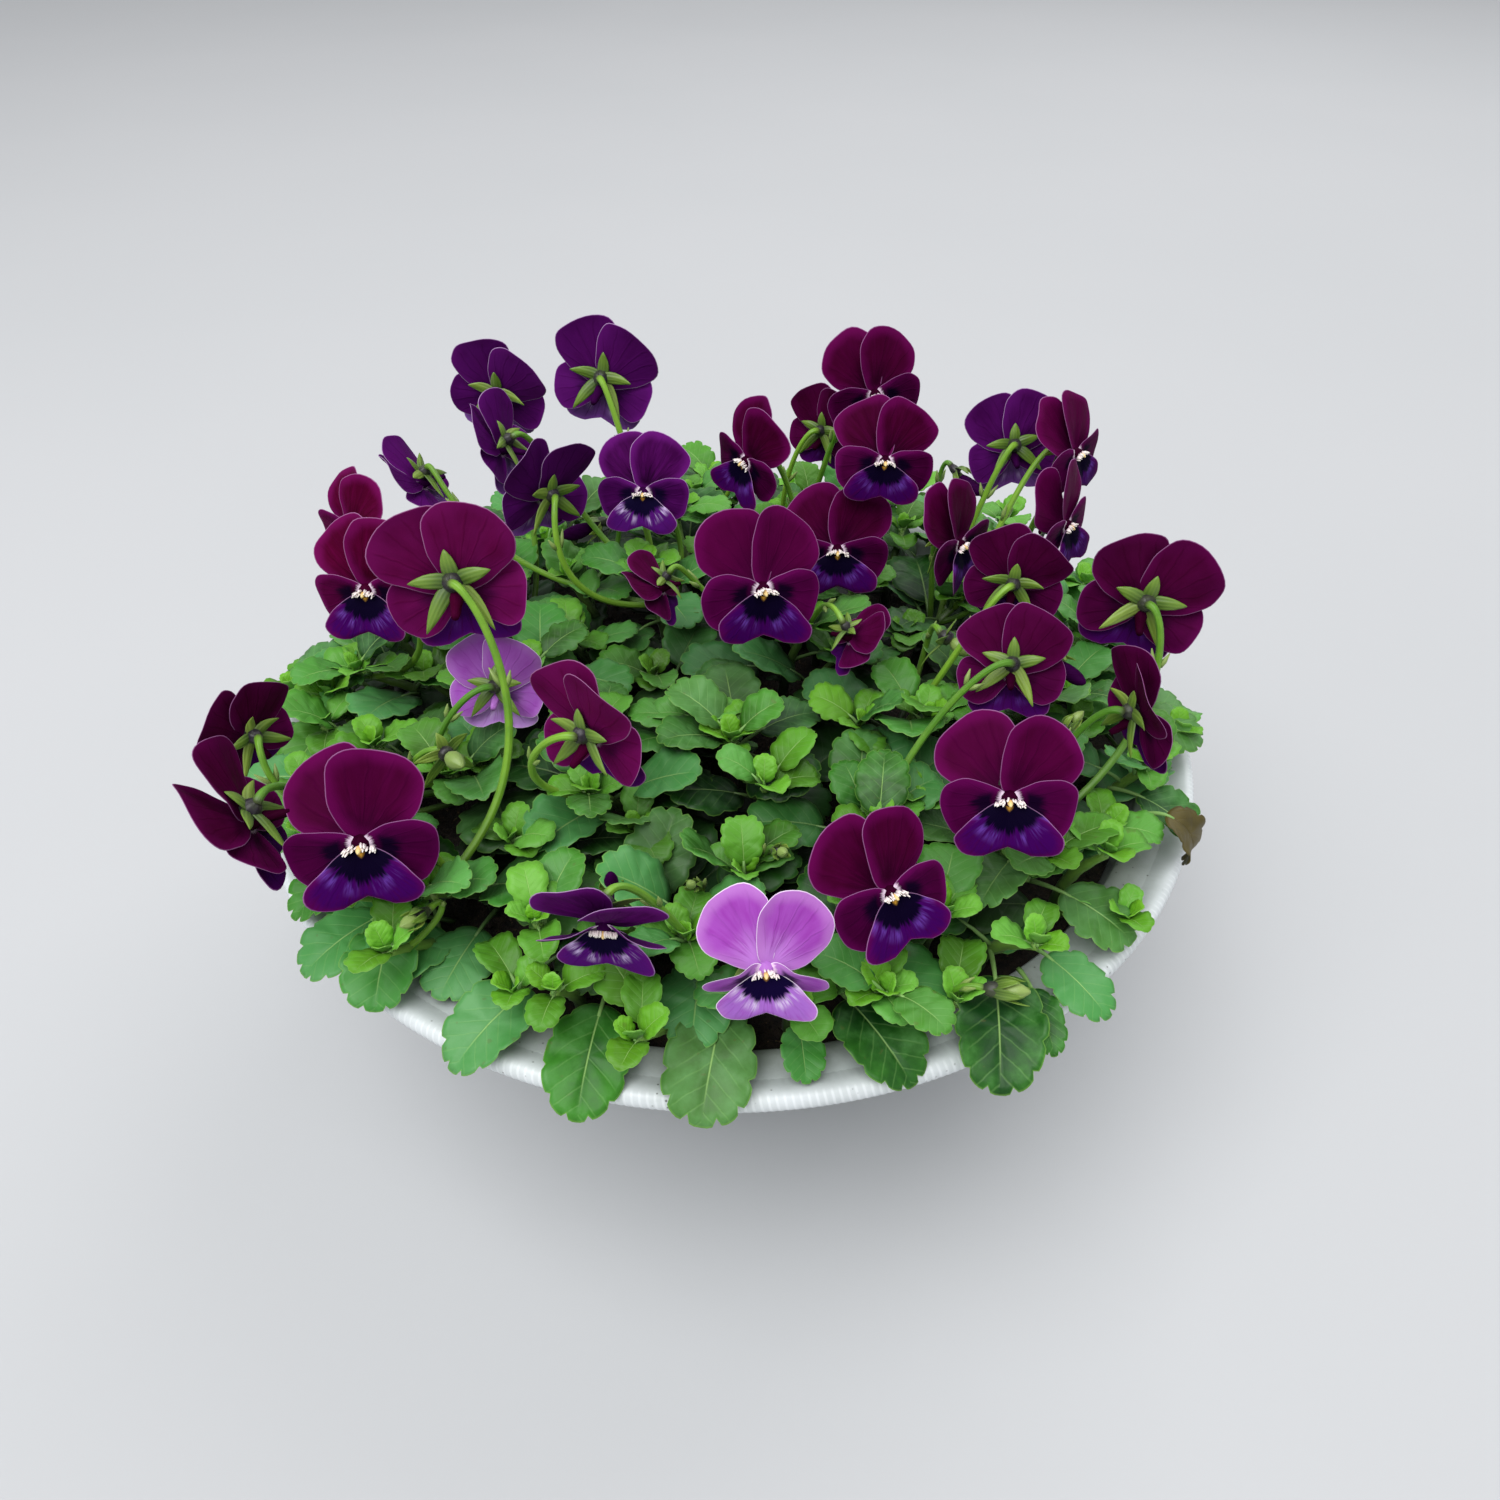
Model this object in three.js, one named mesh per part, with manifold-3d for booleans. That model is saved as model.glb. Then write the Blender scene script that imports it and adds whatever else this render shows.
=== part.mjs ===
import * as THREE from "three";
import { mergeVertices } from "three/examples/jsm/utils/BufferGeometryUtils.js";
import Module from "manifold-3d";

// Millimetres, +Z up, the origin in the middle of the pot's flat bottom.
const wasm = await Module();
wasm.setup();

// Pot: a wide bowl whose flange slopes in and ends outside in a ribbed lip.
const rimHeight = 100;
const rimRadius = 135;
const flangeInner = 119.3;
const skirtBottom = 95.6;
const baseRadius = 70;
const wall = 2.2;
const floorThickness = 3.2;
const potSides = 32;
const drainHoles = 6;
const drainRadius = 4.5;
const drainCircle = 46;

// Soil, with a plain hole for each stem.
const touch = 0.3;
const soilEdge = 91.5;
const soilMiddle = 100;
const soilRadius = 117.5;
const holeDepth = 15;

// Shoots stand on a sunflower spiral and lean outwards with their distance from the middle.
const shootCount = 24;
const spiralRadius = 104;
const goldenAngle = 137.508;
const stemRadius = 1.6;
const stemSides = 4;
const middleTop = 130;
const edgeTop = 113;
const leafSlots = 4;
const bladeThickness = 0.7;
const stalkRadius = 1.05;
const keepApart = 2;
const seed = 20256;

// Flowers: x, y, height above the rim, turn (0 faces the front, 90 the right), nod (up is plus),
// roll, size, flare (plus cups forward, minus folds back) and colour.
const flowers = [
  [-70, 66, 70, 172, -4, -12, 1.0, 0.0, "violet"],
  [-65, 34, 68, -105, -30, 0, 0.85, 0.0, "violet"],
  [-53, 25, 58, -138, 0, -8, 1.0, 0.1, "violet"],
  [-37, 60, 76, 168, -16, -10, 1.05, 0.0, "violet"],
  [-25, 30, 56, -4, 20, 0, 0.93, 0.0, "violet"],
  [5, 33, 64, -55, 8, 6, 0.95, 0.1, "wine"],
  [31, 74, 52, 150, -18, 0, 0.85, 0.0, "wine"],
  [43, 50, 76, 12, 12, -6, 1.0, 0.0, "wine"],
  [42, 13, 74, 0, 18, 4, 0.92, 0.0, "wine"],
  [8, -24, 58, 22, 18, 10, 1.12, 0.05, "wine"],
  [30, 7, 50, -3, 18, 0, 0.98, 0.0, "wine"],
  [63, 3, 54, 52, 8, 4, 0.95, 0.15, "wine"],
  [85, 46, 60, 178, -24, 6, 0.95, 0.0, "violet"],
  [100, 32, 66, 50, 14, 0, 0.95, 0.0, "wine"],
  [89, -4, 64, 54, 4, 0, 0.9, 0.1, "wine"],
  [74, -18, 55, 160, -8, 0, 0.9, 0.1, "wine"],
  [69, -45, 47, 166, -38, 4, 0.92, 0.1, "wine"],
  [104, -29, 55, 170, -18, -10, 1.08, 0.0, "wine"],
  [98, -60, 45, 104, -4, 0, 0.95, 0.0, "wine"],
  [60, -90, 47, -8, 28, -4, 1.1, 0.0, "wine"],
  [33, -107, 36, 30, 34, 0, 1.0, 0.1, "wine"],
  [6, -127, 37, 0, 24, 0, 1.0, 0.0, "lavender"],
  [-27, -115, 37, -6, -28, 0, 0.95, 0.1, "violet"],
  [-31, -73, 52, 142, -12, 10, 1.0, 0.0, "magenta"],
  [-82, -92, 38, 4, 24, -4, 1.15, 0.0, "wine"],
  [-107, -88, 41, -72, -36, -4, 1.05, 0.1, "wine"],
  [-117, -58, 40, -122, -8, 0, 0.85, 0.0, "wine"],
  [-93, -21, 57, -10, 16, -6, 1.02, 0.0, "magenta"],
  [-107, 16, 53, -40, 10, 0, 0.9, 0.1, "magenta"],
  [-64, -40, 70, 180, -22, 8, 1.15, 0.0, "magenta"],
  [-92, 42, 53, -86, -48, 0, 0.85, 0.2, "violet"],
  [-59, -41, 40, 178, -30, 0, 0.82, 0.0, "lavender"],
  [-19, -5, 46, -96, -52, 0, 0.66, 0.45, "wine"],
  [32, -21, 40, 92, -52, 0, 0.66, 0.45, "wine"],
];
// Calyces that have dropped their petals.
const bareHeads = [
  [61, -18, 34, 60, -20, 0, 0.9],
  [-68, -60, 32, 40, 10, 0, 0.9],
];

// Petals of a flower of size 1, in order round the hub: axis angle, length, width, layer, slope
// and outline.
const petals = [
  [61, 18.5, 16.5, -0.3, -0.06, "round"],
  [119, 18.5, 16.5, -1.35, -0.1, "round"],
  [193, 14.5, 11.5, 0.75, 0.04, "oval"],
  [270, 12.4, 21.6, 1.8, 0.14, "lip"],
  [347, 14.5, 11.5, 0.75, 0.04, "oval"],
];
const hubCorners = [24, 90, 156, 231.5, 308.5];
const petalEdges = {
  round: [98, 150, 210, 262],
  oval: [98, 152, 208, 262],
  lip: [82, 136, 180, 224, 278],
};
const notchDepth = 0.12;
const hubRadius = 2.4;
const hubBack = -2.2;
const hubFront = 2.4;
const rootHalf = 0.8;
const sepalAngles = [20, 90, 160, 224, 316];
const calyxCorners = [348, 55, 125, 192, 270];
const calyxRadius = 1.7;
const calyxRaise = 2;
const sepalLength = 9.5;
const petalColours = { wine: 0x5c0a3e, magenta: 0x7a0f52, violet: 0x53106e, lavender: 0xa662c4 };
const leafColours = [0x3f8a3c, 0x4b9a45, 0x357a42, 0x58a64a];

const add = (a, b, k = 1) => [a[0] + b[0] * k, a[1] + b[1] * k, a[2] + b[2] * k];
const dot = (a, b) => a[0] * b[0] + a[1] * b[1] + a[2] * b[2];
const scale = (a, k) => [a[0] * k, a[1] * k, a[2] * k];
const cross = (a, b) => [a[1] * b[2] - a[2] * b[1], a[2] * b[0] - a[0] * b[2], a[0] * b[1] - a[1] * b[0]];
const unit = (a) => scale(a, 1 / Math.hypot(...a));
const mix = (a, b, t) => a + (b - a) * t;
const rad = (degrees) => (degrees * Math.PI) / 180;

// The same seed always gives the same plant.
function makeDraw(start) {
  let state = start;
  return (low, high) => {
    state = (state * 16807) % 2147483647;
    return low + ((high - low) * state) / 2147483647;
  };
}

// A closed solid from corner points and triangles, turned outwards.
function solid(points, faces) {
  let volume = 0;
  for (const [a, b, c] of faces) volume += dot(points[a], cross(points[b], points[c]));
  const turned = volume > 0 ? faces : faces.map(([a, b, c]) => [a, c, b]);
  const mesh = new wasm.Mesh({
    numProp: 3,
    vertProperties: new Float32Array(points.flat()),
    triVerts: new Uint32Array(turned.flat()),
  });
  return new wasm.Manifold(mesh);
}

// Solids joined into one; a sealed hollow left between them is filled.
function join(solids) {
  let whole = solids[0];
  for (const piece of solids.slice(1)) whole = whole.add(piece);
  const bodies = whole.simplify(0.02).decompose();
  return bodies.reduce((best, body) => (body.volume() > best.volume() ? body : best));
}

// A profile of [radius, z] turned round Z; it starts and ends on the axis or closes on itself.
function revolve(profile, sides) {
  const points = [];
  const rings = profile.map(([r, z]) => {
    if (r === 0) return [points.push([0, 0, z]) - 1];
    const ring = [];
    for (let i = 0; i < sides; i += 1) {
      const angle = (2 * Math.PI * i) / sides;
      ring.push(points.push([r * Math.cos(angle), r * Math.sin(angle), z]) - 1);
    }
    return ring;
  });
  const faces = [];
  for (let j = 0; j + 1 < rings.length; j += 1) {
    for (let i = 0; i < sides; i += 1) {
      const at = (ring, k) => ring[ring.length === 1 ? 0 : k % sides];
      const [a, b] = [at(rings[j], i), at(rings[j], i + 1)];
      const [c, d] = [at(rings[j + 1], i), at(rings[j + 1], i + 1)];
      if (a !== b) faces.push([a, b, d]);
      if (c !== d) faces.push([a, d, c]);
    }
  }
  return solid(points, faces);
}

// The corner points round each point of a path, with a radius at each.
function ringsAlong(path, radii, sides) {
  let normal = [0, 0, 0];
  return path.map((point, j) => {
    const before = path[Math.max(j - 1, 0)];
    const after = path[Math.min(j + 1, path.length - 1)];
    const along = unit(add(after, before, -1));
    if (j === 0) normal = Math.abs(along[2]) < 0.8 ? [0, 0, 1] : [1, 0, 0];
    normal = unit(add(normal, along, -dot(normal, along)));
    const side = cross(along, normal);
    const ring = [];
    for (let i = 0; i < sides; i += 1) {
      const angle = (2 * Math.PI * i) / sides;
      const out = add(scale(normal, Math.cos(angle)), side, Math.sin(angle));
      ring.push(add(point, out, radii[j]));
    }
    return ring;
  });
}

// Faces that fill a loop of corners, seen with the loop turning left.
const cap = (loop) => loop.slice(2).map((corner, i) => [loop[0], loop[i + 1], corner]);

// Faces between two loops that turn the same way, which may have different numbers of corners.
// They are matched by the corners' directions from the middles of the loops.
function bridge(points, lower, upper) {
  const middle = (loop) => loop.reduce((sum, corner) => add(sum, points[corner], 1 / loop.length), [0, 0, 0]);
  const shift = add(middle(upper), middle(lower), -1);
  const aim = add(points[lower[0]], shift);
  const far = (corner) => Math.hypot(...add(points[corner], aim, -1));
  const start = upper.reduce((best, corner, i) => (far(corner) < far(upper[best]) ? i : best), 0);
  const [m, n] = [lower.length, upper.length];
  const low = (i) => lower[i % m];
  const high = (j) => upper[(start + j) % n];
  const faces = [];
  let [i, j] = [0, 0];
  while (i < m || j < n) {
    const stepLow = (i + 1) / m <= (j + 1) / n;
    faces.push(stepLow ? [low(i), low(i + 1), high(j)] : [low(i), high(j + 1), high(j)]);
    if (stepLow) i += 1;
    else j += 1;
  }
  return faces;
}

// A tube of few sides through the points of a path.
function tube(path, radii, sides) {
  const points = [];
  const loops = ringsAlong(path, radii, sides).map((ring) => ring.map((point) => points.push(point) - 1));
  const faces = [...cap([...loops[0]].reverse()), ...cap(loops[loops.length - 1])];
  for (let j = 0; j + 1 < loops.length; j += 1) faces.push(...bridge(points, loops[j], loops[j + 1]));
  return solid(points, faces);
}

// A thin blade: a fan round its middle, alike on both faces.
function blade(middle, edge, normal, thickness) {
  const count = edge.length;
  const points = [];
  for (const side of [0.5, -0.5]) {
    points.push(add(middle, normal, side * thickness));
    for (const point of edge) points.push(add(point, normal, side * thickness));
  }
  const faces = [];
  const under = count + 1;
  for (let i = 0; i < count; i += 1) {
    const a = 1 + i;
    const b = 1 + ((i + 1) % count);
    faces.push([0, a, b], [under, under + b, under + a], [a, under + a, under + b], [a, under + b, b]);
  }
  return solid(points, faces);
}

// What is taken is kept in cells, so that nothing new crosses what is already there.
const taken = new Map();
const cellOf = (value) => Math.floor((value + 0.137) / keepApart) + 500;

function claim(points, owner) {
  for (const [x, y, z] of points) {
    const key = cellOf(x) * 1000000 + cellOf(y) * 1000 + cellOf(z);
    taken.set(key, taken.has(key) && taken.get(key) !== owner ? -1 : owner);
  }
}

function isFree(points, owner) {
  for (const [x, y, z] of points) {
    const base = cellOf(x) * 1000000 + cellOf(y) * 1000 + cellOf(z);
    for (let i = -1; i <= 1; i += 1) {
      for (let j = -1; j <= 1; j += 1) {
        for (let k = -1; k <= 1; k += 1) {
          const found = taken.get(base + i * 1000000 + j * 1000 + k);
          if (found !== undefined && found !== owner) return false;
        }
      }
    }
  }
  return true;
}

// Flowers. The local frame has X to the right, Y up and Z the way the flower faces.
function headFrame([x, y, h, turn, nod, roll, size]) {
  const [t, n, r] = [rad(turn), rad(nod), rad(roll)];
  const face = [Math.sin(t) * Math.cos(n), -Math.cos(t) * Math.cos(n), Math.sin(n)];
  const upright = [-Math.sin(t) * Math.sin(n), Math.cos(t) * Math.sin(n), Math.cos(n)];
  const up = add(scale(upright, Math.cos(r)), cross(upright, face), Math.sin(r));
  return { origin: [x, y, rimHeight + h], face, up, right: cross(up, face), size };
}

function inHead(frame, [x, y, z]) {
  return add(add(add(frame.origin, frame.right, x), frame.up, y), frame.face, z);
}

function petalPoint(frame, petal, flare, u, v) {
  const [angle, , , layer, slope] = petal;
  const k = frame.size;
  const along = [Math.cos(rad(angle)), Math.sin(rad(angle))];
  const lean = slope + 0.5 * flare;
  const z = layer + lean * u - 0.006 * u * u + (0.008 + 0.01 * flare) * v * v;
  return inHead(frame, [k * (along[0] * u - along[1] * v), k * (along[1] * u + along[0] * v), k * z]);
}

// Where the petal's edge lies at an angle round its outline, 0 at the root and 180 at the tip.
function petalEdge([, length, width, , , kind], angle) {
  const t = (1 - Math.cos(rad(angle))) / 2;
  const v = ((width / 2) * Math.sin(rad(angle)) * (0.3 + 0.8 * t)) / 0.79;
  const notch = kind === "lip" && angle === 180 ? notchDepth : 0;
  return [length * (t - notch), v];
}

// A ring of corners round the head's axis, as indices into the points.
function headLoop(points, frame, corners, radius, raise, z) {
  return corners.map((angle) => {
    const [x, y] = [radius * Math.cos(rad(angle)), radius * Math.sin(rad(angle)) + raise];
    return points.push(inHead(frame, [x, y, z])) - 1;
  });
}

// A petal grows out of a window in one wall of the hub, so that the flower is one closed skin.
function addPetal(points, faces, frame, petal, flare, wallLoop) {
  const half = scale(frame.face, bladeThickness / 2);
  const put = (u, v) => {
    const at = petalPoint(frame, petal, flare, u, v);
    return [points.push(add(at, half)) - 1, points.push(add(at, half, -1)) - 1];
  };
  const start = hubRadius * 0.85;
  const edge = petalEdges[petal[5]].map((angle) => {
    const [u, v] = petalEdge(petal, angle);
    return put(u, -v);
  });
  const outline = [put(start, -rootHalf), ...edge, put(start, rootHalf)];
  const [middle, under] = put(petal[1] * 0.58, 0);
  outline.forEach(([a, below], i) => {
    const [b, beyond] = outline[(i + 1) % outline.length];
    faces.push([middle, a, b], [under, beyond, below]);
    if (i + 1 < outline.length) faces.push([below, beyond, b], [below, b, a]);
  });
  const [first, last] = [outline[0], outline[outline.length - 1]];
  const window = [first[1], last[1], last[0], first[0]];
  wallLoop.forEach((corner, i) => {
    const next = (i + 1) % 4;
    faces.push([corner, wallLoop[next], window[next]], [corner, window[next], window[i]]);
  });
}

function makeBloom(row) {
  const frame = headFrame(row);
  const k = frame.size;
  const points = [];
  const faces = [];
  const back = headLoop(points, frame, hubCorners, hubRadius * k, 0, hubBack);
  const front = headLoop(points, frame, hubCorners, hubRadius * k, 0, hubFront * k);
  faces.push(...cap(front));
  petals.forEach((petal, i) => {
    const next = (i + 1) % petals.length;
    addPetal(points, faces, frame, petal, row[7], [back[i], back[next], front[next], front[i]]);
  });
  const crest = points.push(inHead(frame, [0, -0.2 * k, hubBack])) - 1;
  for (const [a, b] of [[0, 4], [1, 0], [2, 1], [3, 2]]) faces.push([crest, back[a], back[b]]);
  const root = [back[3], back[4], crest];
  const tip = [[-0.6, -4.7], [0.6, -4.7], [0, -3.8]].map(([x, y]) => {
    return points.push(inHead(frame, [x * k, y * k, -8 * k])) - 1;
  });
  root.forEach((corner, i) => {
    const next = (i + 1) % 3;
    faces.push([tip[i], tip[next], root[next]], [tip[i], root[next], corner]);
  });
  faces.push([tip[0], tip[2], tip[1]]);
  return solid(points, faces);
}

function bloomSamples(row) {
  const frame = headFrame(row);
  const found = [];
  for (const petal of petals) {
    for (let u = 0.1; u <= 1; u += 0.1) {
      const half = petalEdge(petal, (Math.acos(1 - 2 * u) * 180) / Math.PI)[1];
      for (let v = -1; v <= 1; v += 0.2) {
        found.push(petalPoint(frame, petal, row[7], u * petal[1], v * half));
      }
    }
  }
  for (let z = 0; z >= -8; z -= 1) {
    found.push(inHead(frame, [0, (z * 0.46 - 0.7) * frame.size, z * frame.size]));
  }
  return found;
}

// The calyx sits just behind the flower's hub: a short hub of its own and five pointed sepals.
const calyxFront = hubBack - touch;

function sepalPoint(frame, angle, s, v, z) {
  const k = frame.size;
  const [cos, sin] = [Math.cos(rad(angle)), Math.sin(rad(angle))];
  const across = [cos * s - sin * v, sin * s + cos * v + calyxRaise];
  return inHead(frame, [across[0] * k, across[1] * k, calyxFront - 1.1 - 0.2 * s * k + z]);
}

// Each sepal grows out of one wall of the calyx, given as its two back and two front corners.
function addSepal(points, faces, frame, angle, [a, b, c, d]) {
  const put = (s, v, z) => points.push(sepalPoint(frame, angle, s, v, z)) - 1;
  const left = put(sepalLength * 0.52, -1.6, 0);
  const right = put(sepalLength * 0.52, 1.6, 0);
  const keel = put(sepalLength * 0.52, 0, -0.9);
  const tip = put(sepalLength, 0, 0);
  faces.push([d, left, right], [d, right, c], [left, tip, right], [a, b, keel]);
  faces.push([a, keel, left], [b, right, keel], [left, keel, tip], [keel, right, tip]);
  faces.push([a, left, d], [b, c, right]);
}

function calyxSamples(frame) {
  const found = [];
  for (const angle of sepalAngles) {
    for (let s = 0; s <= sepalLength; s += 1.5) found.push(sepalPoint(frame, angle, s, 0, -0.4));
  }
  return found;
}

// Shoots.
const soilTop = (r) => mix(soilMiddle, soilEdge, Math.min(r / soilRadius, 1) ** 2);

function floorAt(r) {
  if (r < soilRadius) return soilTop(r) + 1.2;
  return r < rimRadius + 2 ? rimHeight + 2 : 70;
}

function makeShoots(draw) {
  const shoots = [];
  for (let i = 0; i < shootCount; i += 1) {
    const r = spiralRadius * Math.sqrt((i + 0.5) / shootCount);
    const angle = rad(i * goldenAngle);
    const share = r / spiralRadius;
    const lean = draw(4, 9) + 15 * share;
    const leanAngle = angle + rad(draw(-25, 25));
    const foot = [r * Math.cos(angle), r * Math.sin(angle), soilTop(r)];
    const height = mix(middleTop, edgeTop, share * share) + draw(-4, 4);
    const tip = [foot[0] + lean * Math.cos(leanAngle), foot[1] + lean * Math.sin(leanAngle), height];
    const spin = share > 0.7 ? i * goldenAngle + draw(-35, 35) : draw(0, 360);
    shoots.push({ foot, tip, spin });
  }
  return shoots;
}

// The stem leaves the soil upright and bends to its tip.
function stemPoint({ foot, tip }, t) {
  const bend = [foot[0], foot[1], mix(foot[2], tip[2], 0.5)];
  const ends = add(scale(foot, (1 - t) * (1 - t)), tip, t * t);
  return add(ends, bend, 2 * t * (1 - t));
}

function curve(a, b, c, d, t) {
  const s = 1 - t;
  const near = add(scale(a, s * s * s), b, 3 * s * s * t);
  return add(add(near, c, 3 * s * t * t), d, t * t * t);
}

const stalkSteps = [0, 0.35, 0.65, 0.84, 0.94, 1];

// A flower stalk leaves a shoot sideways, rises upright and hooks over into the back of the calyx.
function stalkCurve(shoot, frame, start, swing) {
  const k = frame.size;
  const end = inHead(frame, [0, calyxRaise * k, calyxFront - 3]);
  const from = stemPoint(shoot, start);
  const side = unit([-frame.face[1], frame.face[0], 0]);
  const rise = end[2] - from[2];
  const high = add(add(add(end, frame.face, -7), [0, 0, 3]), side, swing * 0.35);
  const low = add([high[0], high[1], from[2] + rise * 0.2], side, swing);
  return (t) => curve(from, low, high, end, t);
}

function stalkSamples(path) {
  const found = [];
  for (let t = 0.06; t <= 1; t += 0.02) found.push(path(t));
  return found;
}

// Near its own flower a stalk stays behind the petals and beside the spur.
function isBehind(frame, point) {
  const from = add(point, frame.origin, -1);
  const k = frame.size;
  if (Math.hypot(...from) > 21 * k) return true;
  const [x, y, z] = [dot(from, frame.right), dot(from, frame.up), dot(from, frame.face)];
  const bySpur = Math.abs(x) < 2.4 * k && y < 0.4 * k && y > -7.5 * k && z > -10 * k;
  return z < -2.4 - 0.12 * Math.hypot(x, y) && !bySpur;
}

function pickStalk(row, shoots, owner) {
  const frame = headFrame(row);
  const aim = add(frame.origin, [frame.face[0], frame.face[1], 0], -14);
  const far = (shoot) => Math.hypot(shoot.tip[0] - aim[0], shoot.tip[1] - aim[1]);
  const near = shoots.map((shoot, i) => i).sort((a, b) => far(shoots[a]) - far(shoots[b]));
  for (const index of near.slice(0, 5)) {
    for (const swing of [0, 6, -6, 12, -12, 18, -18]) {
      for (const start of [0.5, 0.35, 0.7, 0.9]) {
        const path = stalkCurve(shoots[index], frame, start, swing);
        const points = stalkSamples(path);
        const clear = points.filter((point) => Math.hypot(...add(point, frame.origin, -1)) > 8 * frame.size);
        const away = clear.filter((point) => Math.hypot(...add(point, points[0], -1)) > 5);
        const behind = points.every((point) => isBehind(frame, point));
        if (behind && isFree(away, owner)) return { index, path, frame, points };
      }
    }
  }
  return null;
}

// A leaf: a stalk and a blade that arch down along one curve, folded a little along the midrib.
function leafPoint(leaf, s, v) {
  const bend = leaf.bend;
  const a = leaf.rise - bend * s;
  const out = (Math.sin(leaf.rise) - Math.sin(a)) / bend;
  const up = (Math.cos(a) - Math.cos(leaf.rise)) / bend;
  const lift = Math.abs(v) * leaf.fold + v * leaf.tilt;
  const away = out - Math.sin(a) * lift;
  const [cos, sin] = [Math.cos(leaf.azimuth), Math.sin(leaf.azimuth)];
  const x = leaf.root[0] + cos * away - sin * v;
  const y = leaf.root[1] + sin * away + cos * v;
  return [x, y, leaf.root[2] + up + Math.cos(a) * lift];
}

// Half the width of the blade at a share of its length, without the scallops.
const leafHalf = (leaf, t) => leaf.width * 0.5 * Math.sin(Math.PI * t ** 0.8) ** 0.7;

function leafSamples(leaf) {
  const found = [];
  for (let s = 4.5; s < leaf.stalk; s += 1.8) found.push(leafPoint(leaf, s, 0));
  const rows = Math.ceil(leaf.length / 1.9);
  for (let i = 0; i <= rows; i += 1) {
    const t = i / rows;
    const half = leafHalf(leaf, Math.min(Math.max(t, 0.03), 0.97)) * 1.06;
    const across = Math.max(Math.ceil(half / 0.95), 1);
    for (let j = 0; j <= across; j += 1) {
      found.push(leafPoint(leaf, leaf.stalk + leaf.length * t, half * ((2 * j) / across - 1)));
    }
  }
  return found;
}

// Scallops of the coarse blade down one side: share of the length, share of the half width.
const broadEdge = [[0.03, 0.35], [0.2, 1.06], [0.34, 0.88], [0.5, 1.14], [0.66, 0.88], [0.86, 1.35]];
const smallEdge = [[0.03, 0.35], [0.28, 1.1], [0.48, 0.88], [0.8, 1.3]];
const youngEdge = [[0.05, 0.45], [0.38, 1.08], [0.8, 1.25]];
const edges = [broadEdge, smallEdge, smallEdge, youngEdge];

function makeLeaf(leaf) {
  const at = ([t, w]) => [leaf.stalk + leaf.length * t, leafHalf(leaf, Math.max(t, 0.05)) * w];
  const flank = edges[leaf.slot].map(at);
  const left = flank.map(([s, v]) => leafPoint(leaf, s, v));
  const right = flank.map(([s, v]) => leafPoint(leaf, s, -v)).reverse();
  const root = [0.55, -0.55].map((v) => leafPoint(leaf, 0, v));
  const tip = leafPoint(leaf, leaf.stalk + leaf.length, 0);
  const edge = [root[0], ...left, tip, ...right, root[1]];
  const middle = leafPoint(leaf, leaf.stalk + leaf.length * 0.42, 0);
  const a = leaf.rise - leaf.bend * (leaf.stalk + leaf.length * 0.42);
  const [cos, sin] = [Math.cos(leaf.azimuth), Math.sin(leaf.azimuth)];
  const normal = [-Math.sin(a) * cos, -Math.sin(a) * sin, Math.cos(a)];
  return blade(middle, edge, normal, bladeThickness);
}

const turns = [0, 18, -18, 36, -36, 54, -54, 72, -72, 90, -90, 110];
const lifts = [0, 8, -8, 16, -4, 4, 22, -12, 12, 0, 26, 18];

// Leaves go up the shoot a golden angle apart, each at the first way it fits.
function growLeaf(shoot, index, slot, draw) {
  const t = 0.34 + (0.62 * slot) / (leafSlots - 1);
  const share = slot / (leafSlots - 1);
  const azimuth = shoot.spin + slot * goldenAngle + draw(-12, 12);
  const rise = mix(24, 56, share) + draw(-8, 8);
  const length = mix(25, 16, share) * draw(0.92, 1.1);
  const width = length * draw(0.66, 0.76);
  const stalk = mix(13, 6, share) * draw(0.85, 1.15);
  const bend = rad(mix(44, 62, share) + draw(-8, 10)) / (stalk + length);
  const fold = draw(0.06, 0.2);
  const tilt = draw(-0.16, 0.16);
  const root = stemPoint(shoot, t);
  for (let j = 0; j < turns.length; j += 1) {
    const leaf = { root, length, width, stalk, bend, fold, tilt, index, slot };
    leaf.azimuth = rad(azimuth + turns[j]);
    leaf.rise = rad(rise + lifts[j]);
    const points = leafSamples(leaf);
    const above = points.every(([x, y, z]) => z > floorAt(Math.hypot(x, y)));
    if (above && isFree(points, index * 100 + slot + 1000)) {
      claim(points, index * 100 + slot + 1000);
      return leaf;
    }
  }
  return null;
}

function plant() {
  const draw = makeDraw(seed);
  const shoots = makeShoots(draw);
  flowers.forEach((row, i) => claim(bloomSamples(row), i + 1));
  const heads = [...flowers, ...bareHeads];
  heads.forEach((row, i) => claim(calyxSamples(headFrame(row)), i + 1));
  shoots.forEach((shoot, i) => {
    const points = [];
    for (let t = 0; t <= 1; t += 0.04) points.push(stemPoint(shoot, t));
    claim(points, 500 + i);
  });
  const stalks = heads.map((row, i) => {
    const stalk = pickStalk(row, shoots, i + 1);
    if (stalk) claim(stalk.points, i + 1);
    else console.log("no way for stalk", i + 1);
    return stalk;
  });
  const leaves = [];
  for (let slot = 0; slot < leafSlots; slot += 1) {
    shoots.forEach((shoot, index) => {
      const leaf = growLeaf(shoot, index, slot, draw);
      if (leaf) leaves.push(leaf);
    });
  }
  return { shoots, stalks: stalks.filter(Boolean), leaves };
}

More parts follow.
